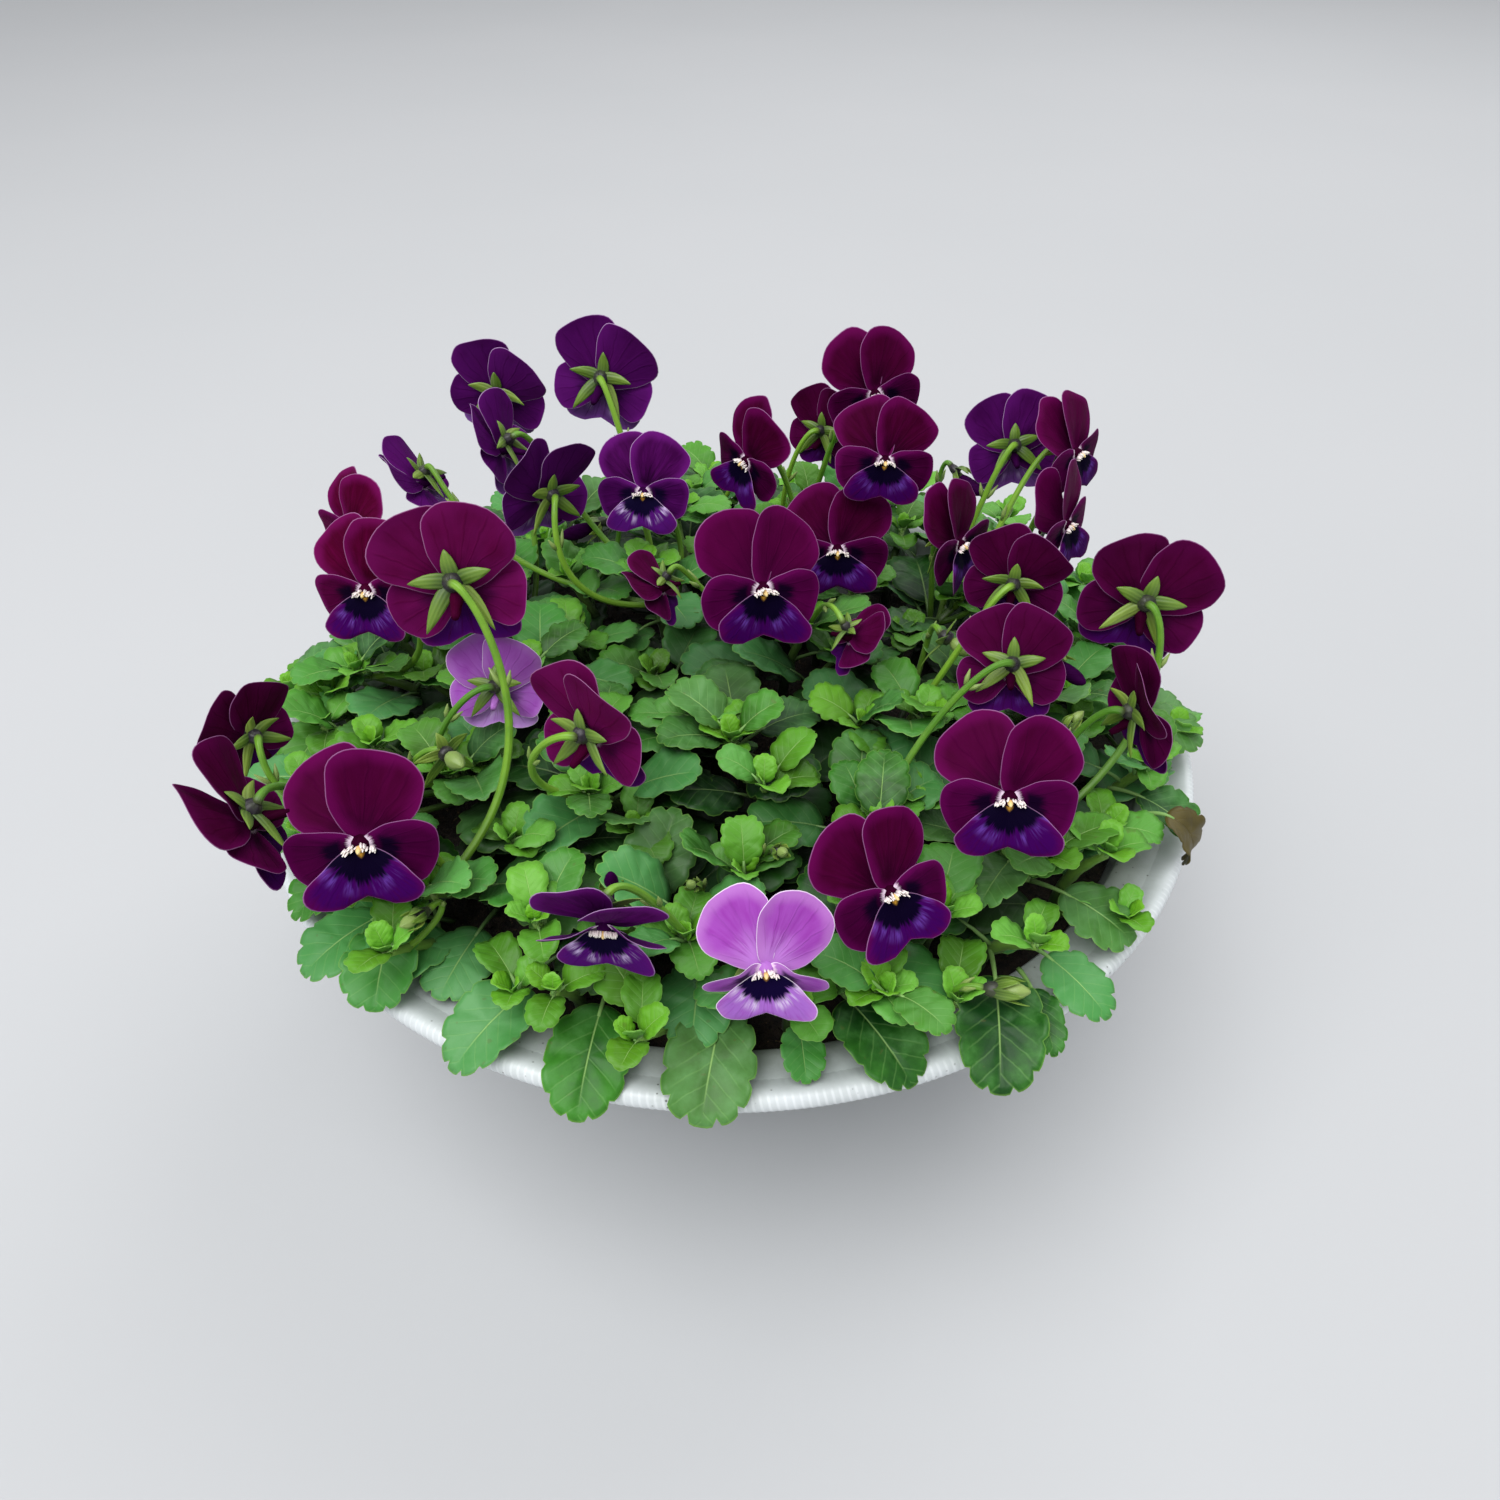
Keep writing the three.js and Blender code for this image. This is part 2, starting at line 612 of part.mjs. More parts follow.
// A flower stalk with its calyx, as one closed skin.
function makeStalk({ path, frame }) {
  const points = [];
  const faces = [];
  const k = frame.size;
  const way = stalkSteps.map((t) => path(t));
  const rings = ringsAlong(way, way.map(() => stalkRadius), 3);
  const loops = rings.map((ring) => ring.map((point) => points.push(point) - 1));
  faces.push(...cap([...loops[0]].reverse()));
  const back = headLoop(points, frame, calyxCorners, calyxRadius * k, calyxRaise * k, calyxFront - 2);
  const front = headLoop(points, frame, calyxCorners, calyxRadius * k, calyxRaise * k, calyxFront);
  loops.push(back);
  for (let j = 0; j + 1 < loops.length; j += 1) faces.push(...bridge(points, loops[j], loops[j + 1]));
  faces.push(...cap(front));
  sepalAngles.forEach((angle, i) => {
    const next = (i + 1) % sepalAngles.length;
    addSepal(points, faces, frame, angle, [back[i], back[next], front[next], front[i]]);
  });
  return solid(points, faces);
}

function makeShoot(shoot, stalks, leaves) {
  const down = add(shoot.foot, [0, 0, touch - holeDepth]);
  const path = [down, shoot.foot, stemPoint(shoot, 0.4), stemPoint(shoot, 0.75), shoot.tip];
  const stem = tube(path, [stemRadius, stemRadius, 1.5, 1.35, 0.9], stemSides);
  return join([stem, ...stalks.map(makeStalk), ...leaves.map(makeLeaf)]);
}

const innerFoot = baseRadius - wall + 1.6;
const innerEdge = flangeInner - 0.6;
const innerTop = 93;

// Radius inside the sloping wall at a height.
const innerAt = (z) => mix(innerFoot, innerEdge, (z - floorThickness) / (innerTop - floorThickness));

function makePot() {
  const profile = [
    [0, 0],
    [baseRadius, 0],
    [121.5, 90],
    [132.2, 97.9],
    [132.7, skirtBottom],
    [134.6, skirtBottom],
    [rimRadius, 97],
    [134.2, 99.9],
    [132.6, rimHeight + 0.8],
    [131, rimHeight + 0.1],
    [flangeInner + 1.2, 98.4],
    [flangeInner, 97.4],
    [innerEdge, innerTop],
    [innerFoot, floorThickness],
    [0, floorThickness],
  ];
  let pot = revolve(profile, potSides);
  for (let i = 0; i < drainHoles; i += 1) {
    const angle = (2 * Math.PI * i) / drainHoles;
    const at = [drainCircle * Math.cos(angle), drainCircle * Math.sin(angle)];
    const path = [[...at, -2], [...at, floorThickness + 2]];
    pot = pot.subtract(tube(path, [drainRadius, drainRadius], 8));
  }
  return pot;
}

function makeSoil(shoots) {
  const gap = touch * 1.2;
  const bottom = floorThickness + touch;
  const profile = [
    [0, bottom],
    [innerAt(bottom) - gap, bottom],
    [innerAt(soilEdge) - gap, soilEdge],
    [72, soilTop(72)],
    [0, soilMiddle],
  ];
  let soil = revolve(profile, potSides);
  for (const { foot } of shoots) {
    const path = [add(foot, [0, 0, -holeDepth]), add(foot, [0, 0, 6])];
    const radius = stemRadius + touch / Math.cos(Math.PI / stemSides);
    soil = soil.subtract(tube(path, [radius, radius], stemSides));
  }
  return soil;
}

function toMesh(name, manifold, colour, roughness) {
  const made = manifold.getMesh();
  let geometry = new THREE.BufferGeometry();
  const positions = new THREE.BufferAttribute(new Float32Array(made.vertProperties), 3);
  geometry.setAttribute("position", positions);
  geometry.setIndex(new THREE.BufferAttribute(new Uint32Array(made.triVerts), 1));
  geometry = mergeVertices(geometry, 1e-5);
  geometry.computeVertexNormals();
  const material = new THREE.MeshStandardMaterial({ color: colour, roughness, metalness: 0 });
  const mesh = new THREE.Mesh(geometry, material);
  mesh.name = name;
  return mesh;
}

const numbered = (word, i) => `${word}_${String(i + 1).padStart(2, "0")}`;

function makePart() {
  const { shoots, stalks, leaves } = plant();
  const part = new THREE.Group();
  part.name = "potted_violet";
  part.add(toMesh("pot", makePot(), 0xd4d8d6, 0.42));
  part.add(toMesh("soil", makeSoil(shoots), 0x2b2219, 0.95));
  shoots.forEach((shoot, i) => {
    const own = stalks.filter((stalk) => stalk.index === i);
    const blades = leaves.filter((leaf) => leaf.index === i);
    const whole = makeShoot(shoot, own, blades);
    part.add(toMesh(numbered("shoot", i), whole, leafColours[i % leafColours.length], 0.5));
  });
  flowers.forEach((row, i) => {
    part.add(toMesh(numbered("bloom", i), makeBloom(row), petalColours[row[8]], 0.6));
  });
  return part;
}

export default makePart();
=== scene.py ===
import math

import bpy
import numpy as np
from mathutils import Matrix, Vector


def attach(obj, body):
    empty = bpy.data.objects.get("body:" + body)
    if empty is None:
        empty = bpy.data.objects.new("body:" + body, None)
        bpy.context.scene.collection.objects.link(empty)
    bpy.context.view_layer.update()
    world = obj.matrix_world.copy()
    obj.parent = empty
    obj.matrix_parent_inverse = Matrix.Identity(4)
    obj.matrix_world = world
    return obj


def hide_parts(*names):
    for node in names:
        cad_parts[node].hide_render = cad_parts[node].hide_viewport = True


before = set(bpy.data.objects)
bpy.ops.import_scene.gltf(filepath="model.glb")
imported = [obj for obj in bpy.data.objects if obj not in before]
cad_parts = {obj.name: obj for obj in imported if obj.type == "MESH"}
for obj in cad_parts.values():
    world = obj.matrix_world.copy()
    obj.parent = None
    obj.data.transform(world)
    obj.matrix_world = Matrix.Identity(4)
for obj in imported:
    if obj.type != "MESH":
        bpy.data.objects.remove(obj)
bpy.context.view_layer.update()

print("frame loaded, nodes:", len(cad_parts))

# Lengths are in millimetres until a mesh is made. The plant grows by the same rule as its solids.
rimHeight = 100
rimRadius = 135
soilEdge, soilMiddle, soilRadius = 91.5, 100, 117.5

# Each flower's x, y, height above the rim, turn (0 faces the front, 90 the right), nod (up is plus),
# roll, size, flare (plus cups forward, minus folds back) and colour
flowers = [
    [-70, 66, 70, 172, -4, -12, 1.0, 0.0, "violet"],
    [-65, 34, 68, -105, -30, 0, 0.85, 0.0, "violet"],
    [-53, 25, 58, -138, 0, -8, 1.0, 0.1, "violet"],
    [-37, 60, 76, 168, -16, -10, 1.05, 0.0, "violet"],
    [-25, 30, 56, -4, 20, 0, 0.93, 0.0, "violet"],
    [5, 33, 64, -55, 8, 6, 0.95, 0.1, "wine"],
    [31, 74, 52, 150, -18, 0, 0.85, 0.0, "wine"],
    [43, 50, 76, 12, 12, -6, 1.0, 0.0, "wine"],
    [42, 13, 74, 0, 18, 4, 0.92, 0.0, "wine"],
    [8, -24, 58, 22, 18, 10, 1.12, 0.05, "wine"],
    [30, 7, 50, -3, 18, 0, 0.98, 0.0, "wine"],
    [63, 3, 54, 52, 8, 4, 0.95, 0.15, "wine"],
    [85, 46, 60, 178, -24, 6, 0.95, 0.0, "violet"],
    [100, 32, 66, 50, 14, 0, 0.95, 0.0, "wine"],
    [89, -4, 64, 54, 4, 0, 0.9, 0.1, "wine"],
    [74, -18, 55, 160, -8, 0, 0.9, 0.1, "wine"],
    [69, -45, 47, 166, -38, 4, 0.92, 0.1, "wine"],
    [104, -29, 55, 170, -18, -10, 1.08, 0.0, "wine"],
    [98, -60, 45, 104, -4, 0, 0.95, 0.0, "wine"],
    [60, -90, 47, -8, 28, -4, 1.1, 0.0, "wine"],
    [33, -107, 36, 30, 34, 0, 1.0, 0.1, "wine"],
    [6, -127, 37, 0, 24, 0, 1.0, 0.0, "lavender"],
    [-27, -115, 37, -6, -28, 0, 0.95, 0.1, "violet"],
    [-31, -73, 52, 142, -12, 10, 1.0, 0.0, "magenta"],
    [-82, -92, 38, 4, 24, -4, 1.15, 0.0, "wine"],
    [-107, -88, 41, -72, -36, -4, 1.05, 0.1, "wine"],
    [-117, -58, 40, -122, -8, 0, 0.85, 0.0, "wine"],
    [-93, -21, 57, -10, 16, -6, 1.02, 0.0, "magenta"],
    [-107, 16, 53, -40, 10, 0, 0.9, 0.1, "magenta"],
    [-64, -40, 70, 180, -22, 8, 1.15, 0.0, "magenta"],
    [-92, 42, 53, -86, -48, 0, 0.85, 0.2, "violet"],
    [-59, -41, 40, 178, -30, 0, 0.82, 0.0, "lavender"],
    [-19, -5, 46, -96, -52, 0, 0.66, 0.45, "wine"],
    [32, -21, 40, 92, -52, 0, 0.66, 0.45, "wine"],
]
bareHeads = [
    [61, -18, 34, 60, -20, 0, 0.9],
    [-68, -60, 32, 40, 10, 0, 0.9],
]

# Axis angle, length, width, layer, slope and outline of the petals of a flower of size 1
petals = [
    [61, 18.5, 16.5, -0.3, -0.06, "round"],
    [119, 18.5, 16.5, -1.35, -0.1, "round"],
    [193, 14.5, 11.5, 0.75, 0.04, "oval"],
    [270, 12.4, 21.6, 1.8, 0.14, "lip"],
    [347, 14.5, 11.5, 0.75, 0.04, "oval"],
]
calyxFront, calyxRaise = -2.5, 2
sepalAngles = [20, 90, 160, 224, 316]
sepalLength = 9.5

growth = {
    "shoots": 24,
    "spiralRadius": 104,
    "goldenAngle": 137.508,
    "middleTop": 130,
    "edgeTop": 113,
    "leafSlots": 4,
    "nodesFrom": 0.34,
    "nodesSpan": 0.62,
    "keepApart": 2,
    "stemOwner": 500,  # the numbers under which stems and leaves claim their room start here
    "leafOwner": 1000,
    "shootsTried": 5,
    "stalkSwings": (0, 6, -6, 12, -12, 18, -18),
    "stalkStarts": (0.5, 0.35, 0.7, 0.9),
    "leafTurns": (0, 18, -18, 36, -36, 54, -54, 72, -72, 90, -90, 110),
    "leafLifts": (0, 8, -8, 16, -4, 4, 22, -12, 12, 0, 26, 18),
    "seed": 20256,
}


def rad(degrees):
    return degrees * math.pi / 180


def cosSin(degrees):
    return math.cos(rad(degrees)), math.sin(rad(degrees))


def mix(a, b, t):
    return a + (b - a) * t


def vec(*numbers):
    return np.array(numbers, float)


def spot(r, angle, height, middle=(0, 0)):  # on a circle, its angle in radians
    return vec(middle[0] + r * math.cos(angle), middle[1] + r * math.sin(angle), height)


def unit(a):
    return a / np.linalg.norm(a)


def smooth(x, low, high):
    t = np.clip((x - low) / (high - low), 0, 1)
    return t * t * (3 - 2 * t)


def steps(start, stop, step):  # adds up as the solids' own loops do
    found = []
    value = start
    while value <= stop:
        found.append(value)
        value += step
    return found


class Draw:  # the same seed always gives the same numbers
    factor, prime = 16807, 2147483647

    def __init__(self, start):
        self.state = start

    def __call__(self, low, high):
        self.state = self.state * self.factor % self.prime
        return low + (high - low) * self.state / self.prime


class Room:  # what is taken, in small cells, so that nothing new crosses what is there
    half, high = 110, 140  # cells to each side of the axis, and upwards
    shift = 0.137  # keeps round numbers off the borders of the cells

    def __init__(self, cell):
        self.cell = cell
        self.owners = np.zeros((self.half * 2, self.half * 2, self.high), np.int32)
        near = (-1, 0, 1)
        self.around = np.array([(i, j, k) for i in near for j in near for k in near])

    def at(self, points):
        cells = np.floor((np.asarray(points, float) + self.shift) / self.cell).astype(int)
        last = self.half * 2 - 2
        return np.clip(cells + [self.half, self.half, 0], 1, [last, last, self.high - 2])

    def claim(self, points, owner):  # a cell that two owners claim is free for neither
        x, y, z = self.at(points).T
        old = self.owners[x, y, z]
        self.owners[x, y, z] = np.where((old == 0) | (old == owner), owner, -1)

    def isFree(self, points, owner, wide=True):
        cells = self.at(points)
        if wide:
            cells = (cells[:, None, :] + self.around[None, :, :]).reshape(-1, 3)
        found = self.owners[cells[:, 0], cells[:, 1], cells[:, 2]]
        return not np.any((found != 0) & (found != owner))


class Head:  # a flower's own frame: X to the right, Y up, Z the way it faces
    def __init__(self, row):
        x, y, height, turn, nod, roll, self.size = row[:7]
        turnCos, turnSin = cosSin(turn)
        nodCos, nodSin = cosSin(nod)
        rollCos, rollSin = cosSin(roll)
        self.face = vec(turnSin * nodCos, -turnCos * nodCos, nodSin)
        upright = vec(-turnSin * nodSin, turnCos * nodSin, nodCos)
        self.up = upright * rollCos + np.cross(upright, self.face) * rollSin
        self.right = np.cross(self.up, self.face)
        self.origin = vec(x, y, rimHeight + height)
        self.bare = len(row) == 7

    def at(self, x, y, z):
        x, y, z = np.broadcast_arrays(x, y, z)
        out = self.origin + x[..., None] * self.right + y[..., None] * self.up
        return out + z[..., None] * self.face

    def into(self, points):
        away = points - self.origin
        return away @ self.right, away @ self.up, away @ self.face


def petalEdge(petal, angle):  # half of the petal's outline, 0 at the root and 180 at the tip
    t = (1 - np.cos(np.radians(angle))) / 2
    return petal[1] * t, (petal[2] / 2) * np.sin(np.radians(angle)) * (0.3 + 0.8 * t) / 0.79


def petalPlane(petal, flare, u, v):  # in the flower's own frame, for size 1
    lean = petal[4] + 0.5 * flare
    c, s = cosSin(petal[0])
    z = petal[3] + lean * u - 0.006 * u * u + (0.008 + 0.01 * flare) * v * v
    return c * u - s * v, s * u + c * v, z


def bloomSamples(row):  # points on every petal and along the spur
    head = Head(row)
    found = []
    for petal in petals:
        for u in steps(0.1, 1, 0.1):
            half = petalEdge(petal, math.degrees(math.acos(1 - 2 * u)))[1]
            v = np.array(steps(-1, 1, 0.2)) * half
            x, y, z = petalPlane(petal, row[7], u * petal[1] + 0 * v, v)
            found.append(head.at(x * head.size, y * head.size, z * head.size))
    z = -np.arange(9.0)
    found.append(head.at(0 * z, (z * 0.46 - 0.7) * head.size, z * head.size))
    return np.vstack(found)


def sepalPlace(head, angle, s, v, z):
    k = head.size
    c, n = cosSin(angle)
    across, along = (c * s - n * v) * k, (n * s + c * v + calyxRaise) * k
    return head.at(across, along, calyxFront - 1.1 - 0.2 * s * k + z)


def calyxSamples(head):
    s = np.array(steps(0, sepalLength, 1.5))
    return np.vstack([sepalPlace(head, angle, s, 0 * s, 0 * s - 0.4) for angle in sepalAngles])


def soilTop(r):
    return mix(soilMiddle, soilEdge, np.minimum(r / soilRadius, 1) ** 2)


def floorAt(r):
    outside = np.where(r < rimRadius + 2, rimHeight + 2, 70)
    return np.where(r < soilRadius, soilTop(r) + 1.2, outside)


def makeShoots(draw):
    shoots = []
    for i in range(growth["shoots"]):
        r = growth["spiralRadius"] * math.sqrt((i + 0.5) / growth["shoots"])
        angle = rad(i * growth["goldenAngle"])
        share = r / growth["spiralRadius"]
        lean = draw(4, 9) + 15 * share
        leanAngle = angle + rad(draw(-25, 25))
        foot = spot(r, angle, soilTop(r))
        height = mix(growth["middleTop"], growth["edgeTop"], share * share) + draw(-4, 4)
        tip = spot(lean, leanAngle, height, foot)
        spin = i * growth["goldenAngle"] + draw(-35, 35) if share > 0.7 else draw(0, 360)
        shoots.append({"foot": foot, "tip": tip, "spin": spin})
    return shoots


def stemPoint(shoot, t):  # the stem leaves the soil upright and bends to its tip
    t = np.asarray(t, float)[..., None]
    foot, tip = shoot["foot"], shoot["tip"]
    bend = vec(foot[0], foot[1], mix(foot[2], tip[2], 0.5))
    return foot * (1 - t) * (1 - t) + tip * t * t + bend * 2 * t * (1 - t)


def curve(a, b, c, d, t):
    t = np.asarray(t, float)[..., None]
    s = 1 - t
    return a * s * s * s + b * 3 * s * s * t + c * 3 * s * t * t + d * t * t * t


def stalkCurve(shoot, head, start, swing):  # rises upright and hooks over into the calyx
    k = head.size
    end = head.at(0, calyxRaise * k, calyxFront - 3)
    begin = stemPoint(shoot, start)
    side = unit(vec(-head.face[1], head.face[0], 0))
    high = end + head.face * -7 + vec(0, 0, 3) + side * swing * 0.35
    low = vec(high[0], high[1], begin[2] + (end[2] - begin[2]) * 0.2) + side * swing
    return lambda t: curve(begin, low, high, end, t)


def isBehind(head, points):  # near its own flower a stalk stays behind the petals, beside the spur
    x, y, z = head.into(points)
    k = head.size
    bySpur = (np.abs(x) < 2.4 * k) & (y < 0.4 * k) & (y > -7.5 * k) & (z > -10 * k)
    clear = (z < -2.4 - 0.12 * np.hypot(x, y)) & ~bySpur
    return np.all(clear | (np.linalg.norm(points - head.origin, axis=1) > 21 * k))


def pickStalk(row, shoots, owner, room):  # the first free way from one of the nearest shoots
    head = Head(row)
    aim = head.origin + vec(head.face[0], head.face[1], 0) * -14
    far = [math.hypot(shoot["tip"][0] - aim[0], shoot["tip"][1] - aim[1]) for shoot in shoots]
    times = steps(0.06, 1, 0.02)
    for index in sorted(range(len(shoots)), key=lambda i: far[i])[: growth["shootsTried"]]:
        for swing in growth["stalkSwings"]:
            for start in growth["stalkStarts"]:
                path = stalkCurve(shoots[index], head, start, swing)
                points = path(times)
                if not isBehind(head, points):
                    continue
                away = points[np.linalg.norm(points - head.origin, axis=1) > 8 * head.size]
                away = away[np.linalg.norm(away - points[0], axis=1) > 5]
                if room.isFree(away, owner):
                    return {"index": index, "path": path, "head": head, "points": points}
    return None


def leafPoint(leaf, s, v):  # stalk and blade arch down along one curve, folded along the midrib
    rise, bend = leaf["rise"], leaf["bend"]
    a = rise - bend * s
    out = (math.sin(rise) - np.sin(a)) / bend
    up = (np.cos(a) - math.cos(rise)) / bend
    lift = np.abs(v) * leaf["fold"] + v * leaf["tilt"]
    away = out - np.sin(a) * lift
    c, n = math.cos(leaf["azimuth"]), math.sin(leaf["azimuth"])
    x, y, z = leaf["root"]
    places = [x + c * away - n * v, y + n * away + c * v, z + up + np.cos(a) * lift]
    return np.stack(places, -1)


def leafHalf(leaf, t):
    return leaf["width"] * 0.5 * np.sin(np.pi * t**0.8) ** 0.7


def leafSamples(leaf):
    found = []
    s = 4.5
    while s < leaf["stalk"]:
        found.append((s, 0))
        s += 1.8
    rows = math.ceil(leaf["length"] / 1.9)
    for i in range(rows + 1):
        t = i / rows
        half = leafHalf(leaf, min(max(t, 0.03), 0.97)) * 1.06
        across = max(math.ceil(half / 0.95), 1)
        for j in range(across + 1):
            found.append((leaf["stalk"] + leaf["length"] * t, half * ((2 * j) / across - 1)))
    s, v = np.array(found).T
    return leafPoint(leaf, s, v)


def settle(leaf, azimuth, rise, owner, room, wide=True, sunk=0.0):  # the first way the leaf fits
    for turn, lift in zip(growth["leafTurns"], growth["leafLifts"]):
        leaf["azimuth"], leaf["rise"] = rad(azimuth + turn), rad(rise + lift)
        points = leafSamples(leaf)
        above = np.all(points[:, 2] > floorAt(np.hypot(points[:, 0], points[:, 1])) - sunk)
        if above and room.isFree(points, owner, wide):
            room.claim(points, owner)
            return leaf
    return None


def growLeaf(shoot, index, slot, draw, room):
    share = slot / (growth["leafSlots"] - 1)
    t = growth["nodesFrom"] + (growth["nodesSpan"] * slot) / (growth["leafSlots"] - 1)
    azimuth = shoot["spin"] + slot * growth["goldenAngle"] + draw(-12, 12)
    rise = mix(24, 56, share) + draw(-8, 8)
    length = mix(25, 16, share) * draw(0.92, 1.1)
    width = length * draw(0.66, 0.76)
    stalk = mix(13, 6, share) * draw(0.85, 1.15)
    bend = rad(mix(44, 62, share) + draw(-8, 10)) / (stalk + length)
    leaf = {"length": length, "width": width, "stalk": stalk, "bend": bend, "fold": draw(0.06, 0.2)}
    leaf.update(tilt=draw(-0.16, 0.16), root=stemPoint(shoot, t), index=index, slot=slot)
    return settle(leaf, azimuth, rise, growth["leafOwner"] + index * 100 + slot, room)


def growPlant():
    draw = Draw(growth["seed"])
    room = Room(growth["keepApart"])
    shoots = makeShoots(draw)
    for i, row in enumerate(flowers):
        room.claim(bloomSamples(row), i + 1)
    heads = flowers + bareHeads
    for i, row in enumerate(heads):
        room.claim(calyxSamples(Head(row)), i + 1)
    for i, shoot in enumerate(shoots):
        room.claim(stemPoint(shoot, steps(0, 1, 0.04)), growth["stemOwner"] + i)
    stalks = []
    for i, row in enumerate(heads):
        stalk = pickStalk(row, shoots, i + 1, room)
        if stalk:
            room.claim(stalk["points"], i + 1)
            stalks.append(stalk)
    leaves = []
    for slot in range(growth["leafSlots"]):
        for index, shoot in enumerate(shoots):
            leaf = growLeaf(shoot, index, slot, draw, room)
            if leaf:
                leaves.append(leaf)
    return shoots, stalks, leaves, room


shoots, stalks, leaves, room = growPlant()
print("plant laid out, leaves:", len(leaves), "stalks:", len(stalks))

# Greenery beyond the solids: side shoots, second leaves, young tufts, rim leaves and buds
greenery = {
    "sideShoots": 66,
    "sideSpiral": 119,
    "spiralStart": 71,
    "footReach": 113,
    "footApart": 7,
    "rimFootReach": 111,
    "nodes": 5,
    "tuftLeaves": 7,
    "frontReach": 115,
    "backReach": 128,
    "frontBearings": (-130, -30),
    "hangFrom": -27,
    "hangTo": 232,
    "rimOwner": 9000,
    "seed": 7411,
}

# Leaves at the nodes, the lowest first: first and last value, and how far it strays where it does
nodeHabits = {
    "main": {
        "owner": 3600, "turn": 64, "along": (0.42, 1.0), "length": (24, 14, 0.85, 1.1), "stalk": (12, 5),
        "arch": (38, 54, -8, 8), "age": (0.15, 0.6, -0.15, 0.15), "rise": (34, 60, -8, 8),
    },
    "side": {
        "owner": 5000, "turn": 0, "along": (0.3, 0.98), "length": (23, 12, 0.85, 1.15),
        "stalk": (13, 4, 0.8, 1.2), "arch": (34, 58, -10, 12), "age": (0.2, 0.75, -0.15, 0.15),
        "rise": (30, 58, -10, 10),
    },
}

# Leaves on and over the rim: x, y and height above the rim of the tip, bearing, rise, stalk, length,
# width, bend over the whole leaf
rimLeaves = [
    [-63, -125, 0, -130, 26, 10, 25, 16, 58],
    [-34.5, -137, -1, -99, 28, 12, 27, 17, 62],
    [-8, -139, -1, -101, 26, 14, 28, 18, 60],
    [38.5, -131, 0, -56, 24, 11, 25, 17, 56],
    [57, -133, 0, -96, 26, 12, 28, 18, 60],
    [-82.5, -111, 3, -92, 26, 10, 22, 16, 58],
    [45, -119, 7, -58, 20, 10, 22, 18, 46],
    [-10, -124, 5, -95, 18, 9, 22, 16, 40],
    [95, -96, 5, -42, 22, 10, 20, 17, 46],
    [-69, -107, 2, -112, 12, 8, 20, 15.5, 30],
    [70, -126, 3, -82, 28, 8, 17, 8, 56],
    [84, -117, 4, -54, 24, 9, 20, 12.5, 50],
    [15, -131, 2, -86, 26, 8, 14, 9, 50],
    [-101, -101, 4, -138, 26, 10, 22, 15.5, 56],
    [-108, -84, 4, -130, 26, 10, 21, 14.5, 56],
    [-118, -62, 6, -152, 28, 10, 22, 15.5, 56],
]
witheredLeaf = [116.5, -67.6, 3, -34, 50, 6, 17, 12, 170]

# Tips of the shoots that lean on the rim: x, y and height above it
rimShoots = [
    [-90, -88, 16],
    [-40, -115, 14],
    [-45, -100, 20],
    [13, -117, 9],
    [68, -106, 16],
    [90, -80, 18],
    [48, -98, 18],
    [-112, -48, 14],
    [112, -44, 13],
    [-116, -10, 14],
]

# Buds and young pods: x, y, height above the rim, turn, nod, roll, size, openness
budSpots = [
    [71, 46, 50, 40, -24, 0, 0.62, 0.2],
    [-43, 40, 38, -60, -10, 20, 0.7, 0.3],
    [60.5, -116, 12, 76, 10, 0, 0.8, 0.0],
    [11, -90, 30, 20, 40, 0, 0.5, 0.1],
    [-10, -94, 24, -20, 50, 0, 0.45, 0.1],
    [-27.5, -96, 26, 10, 60, 0, 0.5, 0.2],
    [-105, 21, 40, -70, -20, 0, 0.6, 0.2],
    [85, -35, 40, 30, -14, 0, 0.6, 0.3],
    [86, -51, 36, 120, 30, 0, 0.5, 0.1],
    [-73, -100, 20, -30, 20, 0, 0.6, 0.1],
    [0, 16, 30, 40, -30, 0, 0.6, 0.2],
    [4, 92, 34, 170, -10, 0, 0.6, 0.2],
    [-60, 92, 30, 150, -16, 0, 0.6, 0.2],
    [104, 50, 30, 100, -10, 0, 0.6, 0.2],
]


def newLeaf(root, length, width, stalk, arch, draw):  # it gets its direction and age later
    leaf = {"root": root, "length": length, "width": width, "stalk": stalk}
    leaf.update(bend=rad(arch) / (stalk + length), fold=draw(0.04, 0.22), tilt=draw(-0.18, 0.18))
    return leaf


def leafTip(leaf):
    return leafPoint(leaf, np.array([leaf["stalk"] + leaf["length"]]), np.zeros(1))[0]


def isOverRim(leaf):  # in front, where the rim shows, leaves end sooner
    x, y = leafTip(leaf)[:2]
    first, last = greenery["frontBearings"]
    inFront = first < math.degrees(math.atan2(y, x)) < last
    return math.hypot(x, y) > greenery["frontReach" if inFront else "backReach"]


